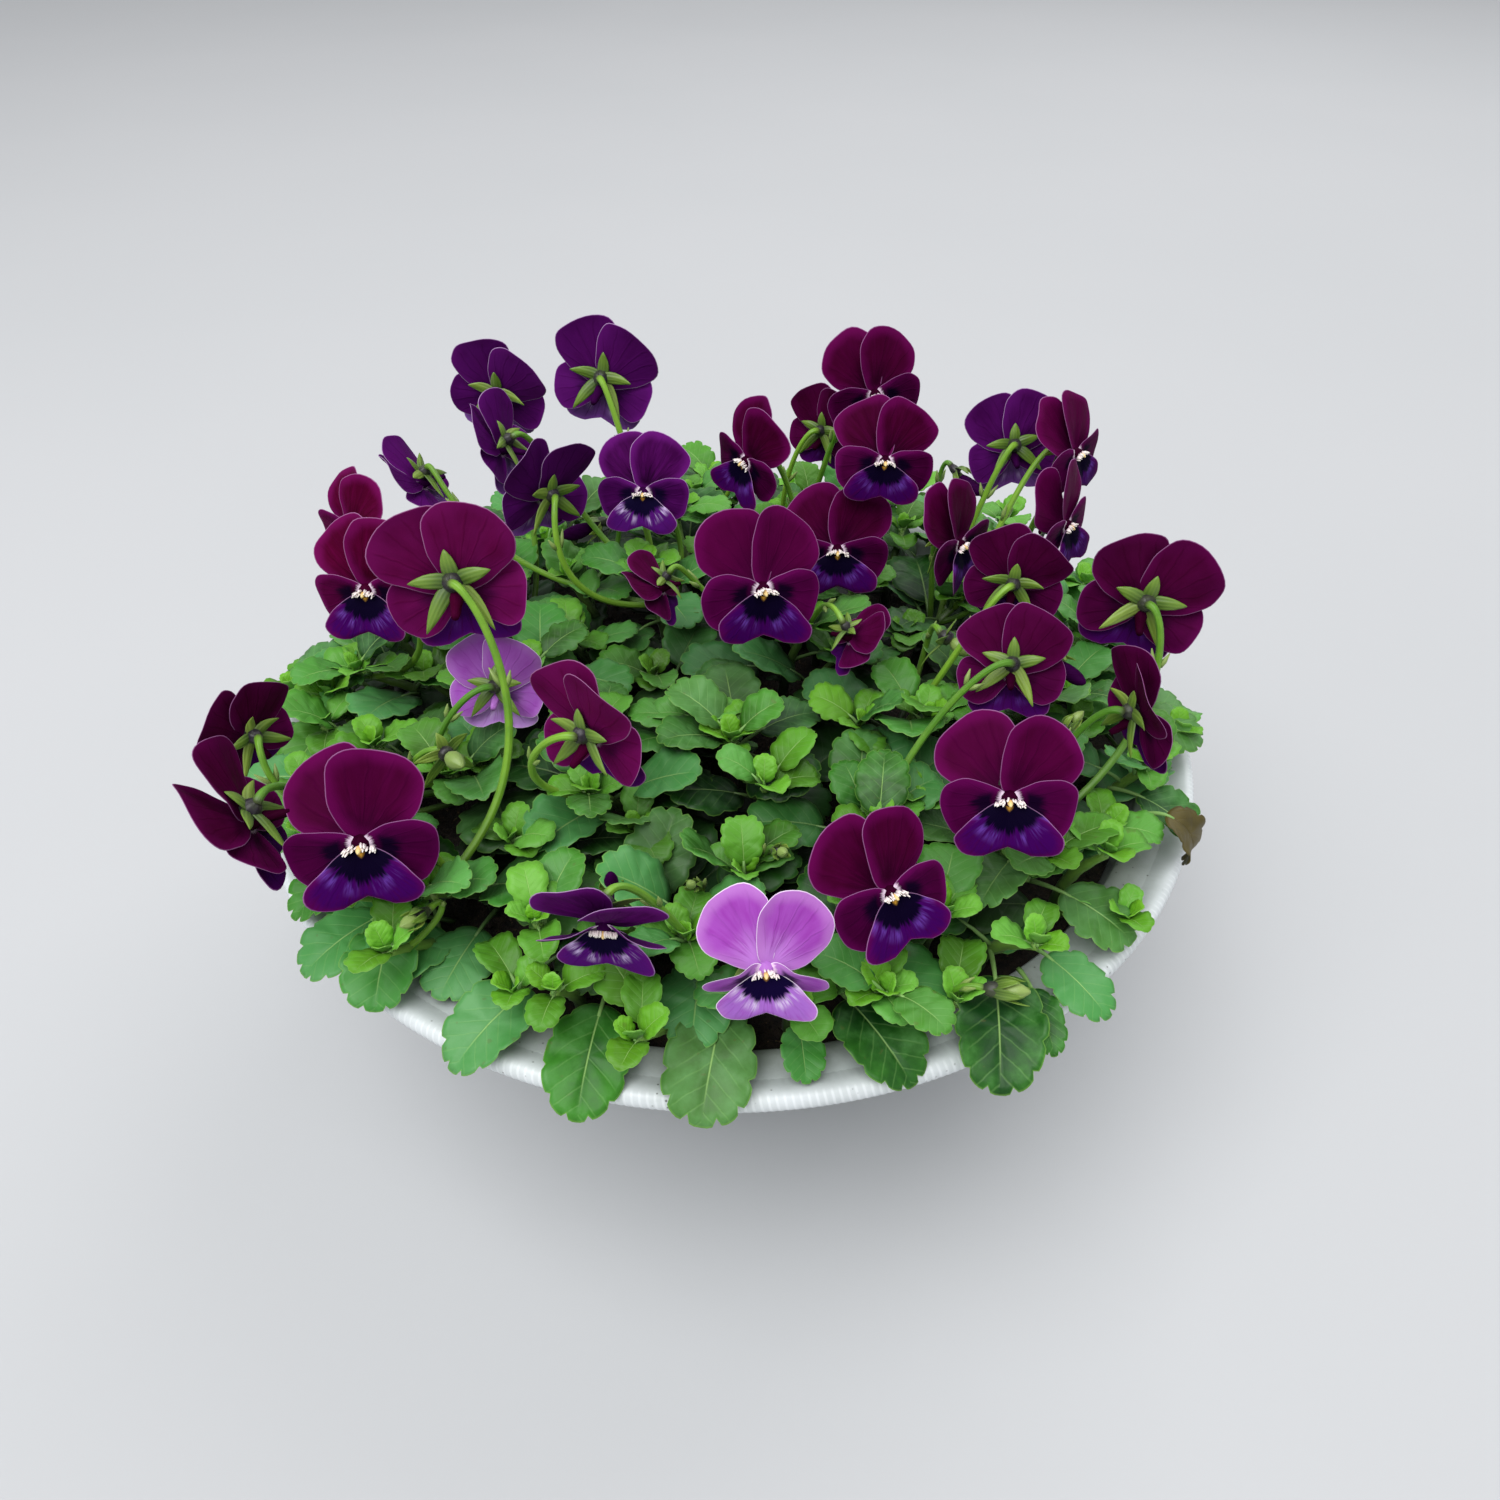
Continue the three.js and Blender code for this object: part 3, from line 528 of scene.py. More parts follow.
def makeSideShoots(draw):  # they stand in the gaps between the main shoots
    feet = [shoot["foot"] for shoot in shoots]
    found = []
    for x, y, height in rimShoots:
        r, angle = min(math.hypot(x, y) - 6, greenery["rimFootReach"]), math.atan2(y, x)
        tip = vec(x, y, rimHeight + height)
        found.append({"foot": spot(r, angle, soilTop(r)), "tip": tip, "spin": draw(0, 360)})
    for i in range(greenery["sideShoots"]):
        r = greenery["sideSpiral"] * math.sqrt((i + 0.5) / greenery["sideShoots"])
        r = min(r, greenery["footReach"])
        angle = rad(i * growth["goldenAngle"] + greenery["spiralStart"])
        foot = spot(r, angle, soilTop(r))
        if min(math.hypot(*(foot - other)[:2]) for other in feet) < greenery["footApart"]:
            continue
        feet.append(foot)
        share = r / greenery["sideSpiral"]
        lean = draw(3, 8) + 12 * share
        leanAngle = angle + rad(draw(-35, 35))
        height = mix(125, 109, share * share) + draw(-6, 4)
        tip = spot(lean, leanAngle, height, foot)
        found.append({"foot": foot, "tip": tip, "spin": draw(0, 360)})
    return found


def growNodeLeaves(plants, habit, draw):
    def scaled(row, share):
        value = mix(row[0], row[1], share)
        return value * draw(*row[2:]) if row[2:] else value

    def shifted(row, share):
        return mix(row[0], row[1], share) + draw(*row[2:])

    found = []
    for slot in range(greenery["nodes"]):
        share = slot / (greenery["nodes"] - 1)
        for index, shoot in enumerate(plants):
            length = scaled(habit["length"], share)
            stalk = scaled(habit["stalk"], share)
            arch = shifted(habit["arch"], share)
            root = stemPoint(shoot, mix(*habit["along"], share))
            leaf = newLeaf(root, length, length * draw(0.72, 0.88), stalk, arch, draw)
            leaf.update(age=shifted(habit["age"], share), index=index)
            azimuth = shoot["spin"] + habit["turn"] + slot * growth["goldenAngle"] + draw(-20, 20)
            rise = shifted(habit["rise"], share)
            owner = habit["owner"] + index * 20 + slot
            if settle(leaf, azimuth, rise, owner, room, wide=False, sunk=3) and not isOverRim(leaf):
                found.append(leaf)
    return found


def growTuft(shoot, count, draw):  # small curled leaves round a shoot's tip
    found = []
    for i in range(count):
        share = i / max(count - 1, 1)
        length = mix(11, 5, share) * draw(0.85, 1.15)
        root = stemPoint(shoot, mix(0.93, 1.0, share))
        width = length * draw(0.7, 0.88)
        leaf = newLeaf(root, length, width, mix(3.2, 1.2, share), mix(58, 20, share), draw)
        leaf["azimuth"] = rad(shoot["spin"] + 40 + i * growth["goldenAngle"] + draw(-15, 15))
        leaf["rise"] = rad(mix(42, 80, share) + draw(-8, 8))
        leaf["fold"] = draw(0.18, 0.42)
        leaf["age"] = mix(0.72, 1.0, share)
        found.append(leaf)
    return found


def hungLeaf(row, draw):  # placed by its tip
    x, y, height, azimuth, rise, stalk, length, width, arch = row
    leaf = newLeaf(vec(0, 0, 0), length, width, stalk, arch, draw)
    leaf.update(azimuth=rad(azimuth), rise=rad(rise))
    leaf.update(age=draw(0.1, 0.45), fold=draw(0.03, 0.12), tilt=draw(-0.12, 0.12))
    leaf["root"] = vec(x, y, rimHeight + height) - leafTip(leaf)
    return leaf


def growRimLeaves(draw):
    found = [hungLeaf(row, draw) for row in rimLeaves]
    withered = hungLeaf(witheredLeaf, draw)
    withered["age"] = 2
    found.append(withered)
    bearing = greenery["hangFrom"]
    while bearing < greenery["hangTo"]:  # round the right, the back and the left
        reach = draw(129, 141)
        x, y, height = spot(reach, rad(bearing), draw(3, 11))
        length = draw(18, 25)
        arch, rise, azimuth = draw(44, 62), draw(24, 40), bearing + draw(-28, 28)
        stalk, width = draw(8, 12), length * draw(0.68, 0.8)
        found.append(hungLeaf([x, y, height, azimuth, rise, stalk, length, width, arch], draw))
        bearing += draw(6, 10) if bearing > 140 else draw(8, 14)
    for i, leaf in enumerate(found):
        room.claim(leafSamples(leaf), greenery["rimOwner"] + i)
    return found


def hookBud(row):  # from the nearest shoot, among the leaves
    head = Head(row)
    nearest = min(shoots + sideShoots, key=lambda shoot: math.hypot(*(shoot["tip"] - head.origin)[:2]))
    return {"path": stalkCurve(nearest, head, 0.8, 0), "head": head, "open": row[7]}


drawMore = Draw(greenery["seed"])
rimGreens = growRimLeaves(drawMore)
sideShoots = makeSideShoots(drawMore)
mainExtras = growNodeLeaves(shoots, nodeHabits["main"], drawMore)
sideLeaves = growNodeLeaves(sideShoots, nodeHabits["side"], drawMore)
tufts = [growTuft(shoot, greenery["tuftLeaves"], drawMore) for shoot in shoots]
sideTufts = [growTuft(shoot, greenery["tuftLeaves"] - 2, drawMore) for shoot in sideShoots]
budStalks = [hookBud(row) for row in budSpots]
print("extra greenery:", len(mainExtras), len(sideLeaves), len(sideShoots), len(budStalks))


class Skin:  # closed skins gathered into one mesh, each with its own places for the shader
    def __init__(self):
        self.points, self.maps, self.faces, self.count = [], {}, {3: [], 4: []}, 0

    def add(self, points, triangles, quads, **maps):
        points = np.asarray(points, float).reshape(-1, 3)
        self.points.append(points)
        for size, faces in ((3, triangles), (4, quads)):
            if len(faces):
                self.faces[size].append(np.asarray(faces, int).reshape(-1, size) + self.count)
        for name, pair in maps.items():
            both = np.stack(np.broadcast_arrays(*pair, points[:, 0])[:2], -1)
            self.maps.setdefault(name, []).append(both)
        self.count += len(points)


def makePiece(name, skin, material, replaced=()):  # from millimetres to metres
    points = np.vstack(skin.points) / 1000
    groups = [np.vstack(skin.faces[size]) for size in (3, 4) if skin.faces[size]]
    corners = np.concatenate([group.ravel() for group in groups])
    sizes = np.concatenate([np.full(len(group), group.shape[1]) for group in groups])
    mesh = bpy.data.meshes.new(name)
    mesh.vertices.add(len(points))
    mesh.vertices.foreach_set("co", points.ravel())
    mesh.loops.add(len(corners))
    mesh.loops.foreach_set("vertex_index", corners.astype(np.int32))
    mesh.polygons.add(len(sizes))
    mesh.polygons.foreach_set("loop_start", (np.cumsum(sizes) - sizes).astype(np.int32))
    mesh.polygons.foreach_set("loop_total", sizes.astype(np.int32))
    for key, found in skin.maps.items():
        layer = mesh.uv_layers.new(name=key)
        layer.data.foreach_set("uv", np.vstack(found)[corners].astype(np.float32).ravel())
    mesh.update(calc_edges=True)
    mesh.validate()
    mesh.shade_smooth()
    mesh.materials.append(material)
    piece = bpy.data.objects.new(name, mesh)
    bpy.context.scene.collection.objects.link(piece)
    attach(piece, "root")
    if replaced:
        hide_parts(*replaced)
    return piece


def patchFaces(rings, count):  # a closed thin patch: rings round a middle, front and back, and a rim
    k = np.arange(count)
    after = (k + 1) % count
    back = 1 + rings * count
    fan = np.stack([0 * k, 1 + k, 1 + after], 1)
    quads = []
    for ring in range(rings - 1):
        a, b = 1 + ring * count, 1 + (ring + 1) * count
        quads.append(np.stack([a + k, b + k, b + after, a + after], 1))
    outer = 1 + (rings - 1) * count
    front = np.vstack(quads) if quads else np.zeros((0, 4), int)
    rim = np.stack([outer + k, back + outer + k, back + outer + after, outer + after], 1)
    triangles = np.vstack([fan, fan[:, ::-1] + back])
    return triangles, np.vstack([front, front[:, ::-1] + back, rim])


patches = {}


def patchGrid(levels, count):  # share of the way out, angle in degrees, side, and the faces
    key = (levels, count)
    if key not in patches:
        angle = np.tile(np.arange(count) * 360 / count, len(levels))
        share = np.repeat(levels, count)
        angle, share = np.concatenate([[0], angle]), np.concatenate([[0], share])
        side = np.repeat([1.0, -1.0], len(share))
        patches[key] = (np.tile(share, 2), np.tile(angle, 2), side, patchFaces(len(levels), count))
    return patches[key]


def tube(path, radii, sides):  # a closed round tube along a path
    path, radii = np.asarray(path, float), np.broadcast_to(radii, len(path))
    ahead = np.gradient(path, axis=0)
    angle = 2 * np.pi * np.arange(sides) / sides
    normal = vec(0, 0, 1) if abs(unit(ahead[0])[2]) < 0.8 else vec(1, 0, 0)
    points = [path[0]]
    for at, along, radius in zip(path, ahead, radii):
        along = unit(along)
        normal = unit(normal - along * (normal @ along))
        side = np.cross(along, normal)
        ring = np.outer(np.cos(angle), normal) + np.outer(np.sin(angle), side)
        points.extend(at + ring * radius)
    points.append(path[-1])
    k = np.arange(sides)
    after = (k + 1) % sides
    rows = len(path)
    last = 1 + (rows - 1) * sides
    row = 1 + sides * np.arange(rows - 1)[:, None]
    quads = np.stack([row + k, row + after, row + sides + after, row + sides + k], -1)
    firstCap = np.stack([0 * k, 1 + after, 1 + k], 1)
    lastCap = np.stack([0 * k + last + sides, last + k, last + after], 1)
    along = np.concatenate([[0], np.repeat(np.linspace(0, 1, rows), sides), [1]])
    turn = np.concatenate([[0], np.tile(k / sides, rows), [0]])
    return np.array(points), np.vstack([firstCap, lastCap]), quads.reshape(-1, 4), along, turn


def linear(level):  # one channel of a colour picker, 0 to 255, as light
    c = level / 255
    return c / 12.92 if c <= 0.04045 else ((c + 0.055) / 1.055) ** 2.4


def tint(red, green, blue):
    return (linear(red), linear(green), linear(blue), 1.0)


class Wire:  # a number or a colour on its way through the shader
    def __init__(self, finish, socket):
        self.finish, self.socket = finish, socket

    def __add__(self, other):
        return self.finish.sum("ADD", self, other)

    __radd__ = __add__

    def __mul__(self, other):
        return self.finish.sum("MULTIPLY", self, other)

    __rmul__ = __mul__

    def __sub__(self, other):
        return self.finish.sum("SUBTRACT", self, other)

    def __rsub__(self, other):
        return self.finish.sum("SUBTRACT", other, self)

    def __pow__(self, other):
        return self.finish.sum("POWER", self, other)

    def __abs__(self):
        return self.finish.sum("ABSOLUTE", self)


class Finish:  # one material, its nodes added as they are asked for
    def __init__(self, name, **fixed):
        self.material = bpy.data.materials.new(name)
        self.material.use_nodes = True
        self.tree = self.material.node_tree
        self.shader = self.tree.nodes["Principled BSDF"]
        for key, value in fixed.items():
            self.shader.inputs[key.replace("_", " ")].default_value = value

    def node(self, kind, settings=None, inputs=None, output=0):
        made = self.tree.nodes.new(kind)
        for key, value in (settings or {}).items():
            setattr(made, key, value)
        for key, value in (inputs or {}).items():
            self.join(made.inputs[key], value)
        return Wire(self, made.outputs[output])

    def join(self, socket, value):
        if isinstance(value, Wire):
            self.tree.links.new(value.socket, socket)
        else:
            socket.default_value = value

    def sum(self, operation, *values):
        return self.node("ShaderNodeMath", {"operation": operation}, dict(enumerate(values)))

    def ramp(self, value, low, high):  # 0 below low, 1 above high, smooth between
        inputs = {"Value": value, "From Min": low, "From Max": high}
        return self.node("ShaderNodeMapRange", {"interpolation_type": "SMOOTHSTEP"}, inputs)

    def blend(self, first, second, share):
        inputs = {0: share, 6: first, 7: second}
        return self.node("ShaderNodeMix", {"data_type": "RGBA", "clamp_factor": True}, inputs, 2)

    def point(self, x, y, z):
        return self.node("ShaderNodeCombineXYZ", None, {"X": x, "Y": y, "Z": z})

    def cloud(self, place, scale, detail=2.0, roughness=0.5):
        inputs = {"Vector": place, "Scale": scale, "Detail": detail, "Roughness": roughness}
        return self.node("ShaderNodeTexNoise", None, inputs)

    def cells(self, place, scale):
        return self.node("ShaderNodeTexVoronoi", None, {"Vector": place, "Scale": scale})

    def split(self, place):  # x, y and z of a place
        x = self.node("ShaderNodeSeparateXYZ", None, {0: place})
        return [Wire(self, socket) for socket in x.socket.node.outputs]

    def map(self, name):
        return self.split(self.node("ShaderNodeUVMap", {"uv_map": name}))[:2]

    def place(self):
        return self.node("ShaderNodeTexCoord", None, None, 3)

    def paintDeepShade(self, colour, place):  # painted shade deep among the leaves, darker by height and reach in metres
        x, y, z = self.split(place)
        reach = (x * x + y * y) ** 0.5
        # painted shade: near-black green where the foliage is deep
        low = 1 - self.ramp(z + reach * reach * 1.2, 0.11, 0.142)
        return self.blend(colour, tint(1, 10, 0), low * (1 - self.ramp(reach, 0.104, 0.124)) * 0.96)

    def finishWith(self, colour, roughness, height=None, depth=0.0002, strength=0.6):
        self.join(self.shader.inputs["Base Color"], colour)
        self.join(self.shader.inputs["Roughness"], roughness)
        if height is not None:
            inputs = {"Height": height, "Distance": depth, "Strength": strength}
            self.join(self.shader.inputs["Normal"], self.node("ShaderNodeBump", None, inputs))
        return self.material


# Colours of the four families of flowers
petalLooks = {
    "wine": {
        "deep": tint(28, 0, 11), "body": tint(52, 0, 25), "edge": tint(94, 6, 72),
        "streak": tint(66, 1, 42), "lip": tint(56, 2, 80), "blotch": tint(8, 2, 26),
        "whisker": tint(96, 56, 150), "rim": tint(206, 150, 206), "back": tint(78, 7, 58),
        "lipBack": tint(70, 12, 92), "rimShare": 0.38,
    },
    "magenta": {
        "deep": tint(46, 0, 17), "body": tint(72, 1, 36), "edge": tint(108, 12, 80),
        "streak": tint(88, 2, 52), "lip": tint(58, 3, 84), "blotch": tint(9, 3, 28),
        "whisker": tint(104, 64, 156), "rim": tint(210, 156, 206), "back": tint(98, 14, 76),
        "lipBack": tint(84, 18, 116), "rimShare": 0.42,
    },
    "violet": {
        "deep": tint(30, 1, 34), "body": tint(56, 3, 60), "edge": tint(98, 20, 110),
        "streak": tint(80, 10, 88), "lip": tint(78, 18, 108), "blotch": tint(12, 5, 36),
        "whisker": tint(206, 184, 228), "rim": tint(214, 176, 222), "back": tint(82, 16, 98),
        "lipBack": tint(140, 92, 172), "rimShare": 0.6,
    },
    "lavender": {
        "deep": tint(184, 122, 204), "body": tint(152, 62, 172), "edge": tint(178, 116, 192),
        "streak": tint(136, 22, 152), "lip": tint(156, 100, 188), "blotch": tint(14, 5, 42),
        "whisker": tint(214, 196, 228), "rim": tint(246, 232, 248), "back": tint(170, 104, 196),
        "lipBack": tint(204, 164, 226), "rimShare": 0.85,
    },
}

petalDesign = {
    "levels": (0.2, 0.42, 0.62, 0.79, 0.91, 0.975, 1.0),
    "around": 44,
    "middle": 0.56,
    "thickness": 0.34,
    "widths": {"round": 1.12, "oval": 1.14, "lip": 1.06},
    "ruffle": 1.15,
    "ripples": ((2, 0.6), (5, 0.4), (9, 0.22)),
    "edgeWaves": ((2, 0.02), (3, 0.018), (5, 0.014), (9, 0.01)),
    "mapSize": 24,
    "seed": 515,
}
petalKinds = {"round": 0.15, "oval": 0.4, "lip": 0.65, "spur": 0.9}

# How far each flower goes from its family's darker to its brighter colour
bloomHues = [
    0.6, 0.5, 0.7, 0.8, 0.3, 0.4, 0.3, 0.5, 0.4, 0.9, 0.5, 0.5, 0.3, 0.8, 0.9, 0.4, 0.5,
    0.4, 0.4, 0.7, 0.5, 0.5, 0.6, 0.6, 0.6, 0.2, 0.2, 0.0, 0.0, 0.4, 1.0, 0.3, 0.1, 0.1,
]

# Flowers that stay a little smaller than their solids
bloomGrowth = {20: 0.94, 22: 0.88}

# Flowers whose petals stand differently, by outline and side: lean forward and twist in radians,
# swing in degrees
petalHabits = {
    20: {"round>": [-0.05, 0.24, -8], "round<": [-0.22, 0.06, 6]},
    22: {
        "round>": [-0.1, 0.1, -8], "round<": [-0.2, 0.1, 8], "oval>": [0.1, 0.85, -4],
        "oval<": [0.1, -0.85, 4], "lip<": [-0.06, 0.0, 0], "lip>": [-0.06, 0.0, 0],
    },
    23: {
        "round>": [0.1, 0.1, 0], "round<": [0.02, 0.1, 0], "oval>": [0.2, 0.3, 0],
        "oval<": [0.2, -0.3, 0], "lip<": [0.36, 0.0, 0], "lip>": [0.36, 0.0, 0],
    },
    25: {"round>": [0.0, 0.1, 6], "round<": [-0.26, 0.3, 0]},
}


def makePetalFinish(name, look):
    fixed = {"Sheen_Weight": 0.02, "Sheen_Roughness": 0.4, "Sheen_Tint": look["edge"]}
    finish = Finish("petal" + name.capitalize(), Specular_IOR_Level=0.015, **fixed)
    placeX, placeY = finish.map("petalPlace")
    kind, side = finish.map("petalKind")
    edge, luck = finish.map("petalEdge")
    u, v = placeX * petalDesign["mapSize"], (placeY - 0.5) * petalDesign["mapSize"]
    reach = (u * u + v * v) ** 0.5
    angle = finish.sum("ARCTAN2", v, u)
    isLip = finish.ramp(kind, 0.5, 0.55) * (1 - finish.ramp(kind, 0.75, 0.8))
    isSide = finish.ramp(kind, 0.25, 0.3) * (1 - finish.ramp(kind, 0.5, 0.55))
    isSpur = finish.ramp(kind, 0.75, 0.8)
    seed = luck * 31 + kind * 17
    soft = finish.cloud(finish.point(u * 0.16, v * 0.16, seed), 1.0)
    streak = finish.cloud(finish.point(angle * 6.5, reach * 0.09, seed), 1.0, 3.0, 0.6)
    fine = finish.cloud(finish.point(angle * 22, reach * 0.22, seed), 1.0, 2.0, 0.6)
    veins = 1 - finish.ramp(abs(finish.sum("SINE", angle * 12 + soft * 2.4)), 0.0, 0.34)
    veins = veins * finish.ramp(reach, 2.5, 6) * (1 - finish.ramp(edge, 0.7, 0.98))
    upper = finish.blend(look["deep"], look["body"], finish.ramp(reach + soft * 5, 6.5, 14))
    along = finish.ramp(streak + fine * 0.3, 0.52, 0.86) * finish.ramp(reach, 3, 7)
    upper = finish.blend(upper, look["streak"], along * (1 - finish.ramp(edge, 0.6, 0.96)) * 0.7)
    upper = finish.blend(upper, look["edge"], finish.ramp(edge + soft * 0.3, 0.78, 1.14) * 0.85)
    upper = finish.blend(upper, look["edge"], finish.ramp(luck + soft * 0.3, 0.2, 1.5) * 0.6)
    lip = finish.blend(look["lip"], look["edge"], finish.ramp(edge + streak * 0.3, 0.9, 1.2) * 0.6)
    whiskers = finish.ramp(reach, 5.4, 7.0) * (1 - finish.ramp(reach, 7.8, 10.6))
    whiskers = whiskers * finish.ramp(abs(angle), 0.1, 0.34) * finish.ramp(streak + fine * 0.5, 0.66, 0.94)
    lip = finish.blend(lip, look["streak"], finish.ramp(fine + streak * 0.4, 0.66, 0.96) * 0.35)
    lip = finish.blend(lip, look["whisker"], whiskers)
    feather = reach - (streak - 0.5) * 5 - (fine - 0.5) * 3
    lip = finish.blend(look["blotch"], lip, finish.ramp(feather, 6.0, 7.6))
    flank = finish.blend(upper, look["lip"], 0.14)
    flank = finish.blend(tint(236, 214, 232), flank, finish.ramp(reach + fine * 1.6, 2.7, 3.7))
    navy = finish.ramp(reach, 3.2, 4.4) * (1 - finish.ramp(feather, 6.2, 8.6))
    flank = finish.blend(flank, look["blotch"], navy * (1 - finish.ramp(abs(v), 1.6, 3.2)) * 0.9)
    front = finish.blend(finish.blend(upper, flank, isSide), lip, isLip)
    front = finish.blend(front, look["blotch"], veins * 0.08)
    back = finish.blend(look["back"], look["lipBack"], isLip)
    back = finish.blend(front, back, finish.ramp(soft, 0.3, 0.7) * 0.3 + 0.35)
    back = finish.blend(back, look["body"], veins * 0.3)
    colour = finish.blend(back, front, side)
    paleEdge = finish.ramp(edge, 0.972, 0.994) * (streak * 0.8 + 0.5) * look["rimShare"]
    colour = finish.blend(colour, look["rim"], paleEdge)
    colour = finish.blend(colour, look["deep"], isSpur * 0.7)
    throat = (1 - finish.ramp(reach + abs(angle) * 1.5, 1.5, 2.6)) * isLip * side
    colour = finish.blend(colour, tint(226, 168, 60), throat)
    shine = 0.5 + soft * 0.16 + veins * 0.08
    height = veins * 0.4 + streak * 0.5 + fine * 0.3
    return finish.finishWith(colour, shine, height, 0.0003, 0.5)


def petalRim(petal, angle):  # fuller at the root than the plain outline, so that petals overlap
    t = (1 - np.cos(np.radians(angle))) / 2
    around = np.sin(np.radians(angle))
    half = petal[2] / 2 * petalDesign["widths"][petal[5]]
    fuller = (0.42 + 0.73 * t) / 0.88 if petal[5] == "lip" else (0.5 + 0.6 * t) / 0.84
    return petal[1] * t, half * np.sign(around) * np.abs(around) ** 0.86 * fuller


def petalSkin(skin, head, petal, flare, swirl, luck, draw, pose):
    shape = petalDesign
    share, angle, side, faces = patchGrid(shape["levels"], shape["around"])
    u, v = petalRim(petal, angle)
    v = -v
    away = np.abs(angle - 180)
    if petal[5] == "lip":
        u = u * (1 - 0.2 * np.exp(-((away / 11) ** 2)) + 0.04 * np.exp(-(((away - 42) / 16) ** 2)))
    if petal[5] == "round":
        u = u * (1 + 0.02 * np.cos(np.radians(angle * 3 + swirl[0] * 57)))
    middle = petal[1] * shape["middle"]
    theta = np.radians(angle)
    wave = sum(size * np.sin(theta * turns + draw(0, 6.28)) for turns, size in shape["edgeWaves"])
    wave = 1 + wave * (1 - smooth(away, 110, 150))
    u, v = middle + share * (u - middle) * wave, share * v * wave
    u = np.maximum(u, 0.5)
    x, y, z = petalPlane(petal, flare, u, v)
    reach = np.hypot(x, y)
    turn = np.arctan2(y, x)
    ripples = zip(shape["ripples"], swirl)
    ripple = sum(np.sin(turn * times + start) * size for (times, size), start in ripples)
    z = z + shape["ruffle"] * ripple * (reach / 17) ** 2.6
    z = z - petal[3] * 0.5 * (1 - smooth(u, 0, 6))
    z = z - 0.45 * np.exp(-((v / 1.5) ** 2)) * smooth(u, 0, 3) * (1 - smooth(u, 4, petal[1]))
    z = z - 0.5 * smooth(share, 0.8, 1.0) * (0.4 + 0.6 * np.sin(np.radians(angle * 2) + swirl[2]))
    lean, twist, swing = pose
    c, n = cosSin(swing)
    x, y = c * x - n * y, n * x + c * y
    c, n = cosSin(petal[0] + swing)
    back = (1 - math.cos(lean)) * u
    x, y = x - c * back, y - n * back
    aside = (1 - math.cos(twist)) * v * smooth(u, 0, 6)
    x, y = x + n * aside, y - c * aside
    z = z + math.sin(lean) * u * smooth(u, 0, 3) + math.sin(twist) * v * smooth(u, 0, 6)
    thick = shape["thickness"] * (0.5 - 0.34 * share**3)
    k = head.size
    points = head.at(x * k, y * k, z * k + side * thick)
    maps = {
        "petalPlace": (u / shape["mapSize"], 0.5 + v / shape["mapSize"]),
        "petalKind": (petalKinds[petal[5]], (side + 1) / 2),
        "petalEdge": (share, luck),
    }
    skin.add(points, *faces, **maps)


def petalPose(i, kind, side, draw):  # how far a petal leans forward and twists on its axis
    if kind == "round":
        usual = [draw(-0.12, 0.02) - (0.08 if side < 0 else 0), draw(0, 0.2), draw(-4, 4)]
    elif kind == "oval":
        usual = [draw(-0.16, 0.0), side * draw(-0.1, 0.2), draw(-5, 5)]
    else:
        usual = [draw(-0.14, 0.02), draw(-0.06, 0.06), draw(-3, 3)]
    return petalHabits.get(i + 1, {}).get(kind + (">" if side > 0 else "<"), usual)


# Height, depth and radius along the spur with its hub, and along the cone in the throat
spurStops = [
    [0.2, 1.4, 1.3], [0.1, 0, 1.9], [-0.2, -1.6, 2.0], [-1.3, -3.2, 1.5],
    [-2.7, -5, 1.15], [-3.8, -6.6, 1.0], [-4.4, -7.8, 0.75],
]
coneStops = [[-0.2, 0.8, 0.6], [-0.3, 1.7, 0.66], [-0.5, 2.4, 0.5], [-0.8, 2.9, 0.2]]
throatHairs = 20


def addSpurTube(skin, path, radii, sides, luck):  # petal material, coloured as the spur is
    points, caps, quads, along, turn = tube(path, radii, sides)
    maps = {"petalPlace": (along, turn), "petalKind": (petalKinds["spur"], 0.0), "petalEdge": (0.3, luck)}
    skin.add(points, caps, quads, **maps)


def spurSkin(skin, head, luck):  # the hub behind the petals and the blunt spur of the lip
    y, z, radii = np.array(spurStops).T * head.size
    addSpurTube(skin, head.at(0 * y, y, z), radii, 10, luck)


def throatSkin(skin, head, draw):  # yellow cone in the throat with two tufts of pale hairs
    k = head.size
    y, z, radii = np.array(coneStops).T * k
    points, caps, quads, along, _ = tube(head.at(0 * y, y, z), radii, 8)
    skin.add(points, caps, quads, throatPlace=(along, 0.2))
    for way in (-1, 1):
        for _ in range(throatHairs):
            out = draw(0.3, 2.9)
            start = vec(way * out, 0.5 - 0.36 * out + draw(-0.45, 0.45), 1.4)
            end = start + vec(way * draw(-0.1, 0.5), draw(-0.6, 0.1), draw(0.8, 1.5))
            hair = np.array([start, mix(start, end, 0.6), end]) * k
            radii = np.array([0.26, 0.24, 0.1]) * k
            points, caps, quads, along, _ = tube(head.at(*hair.T), radii, 4)
            skin.add(points, caps, quads, throatPlace=(along, 0.8))


def makeThroatFinish():
    finish = Finish("throatCream", Sheen_Weight=0.2)
    along, kind = finish.map("throatPlace")
    eye = finish.blend(tint(206, 150, 52), tint(248, 222, 150), along)
    hair = finish.blend(tint(240, 222, 226), tint(255, 250, 242), along)
    grain = finish.cloud(finish.place(), 900.0)
    colour = finish.blend(eye, hair, finish.ramp(kind, 0.45, 0.55))
    colour = finish.blend(colour, tint(214, 178, 156), grain * 0.16)
    return finish.finishWith(colour, 0.45 + grain * 0.2, grain, 0.0001, 0.3)


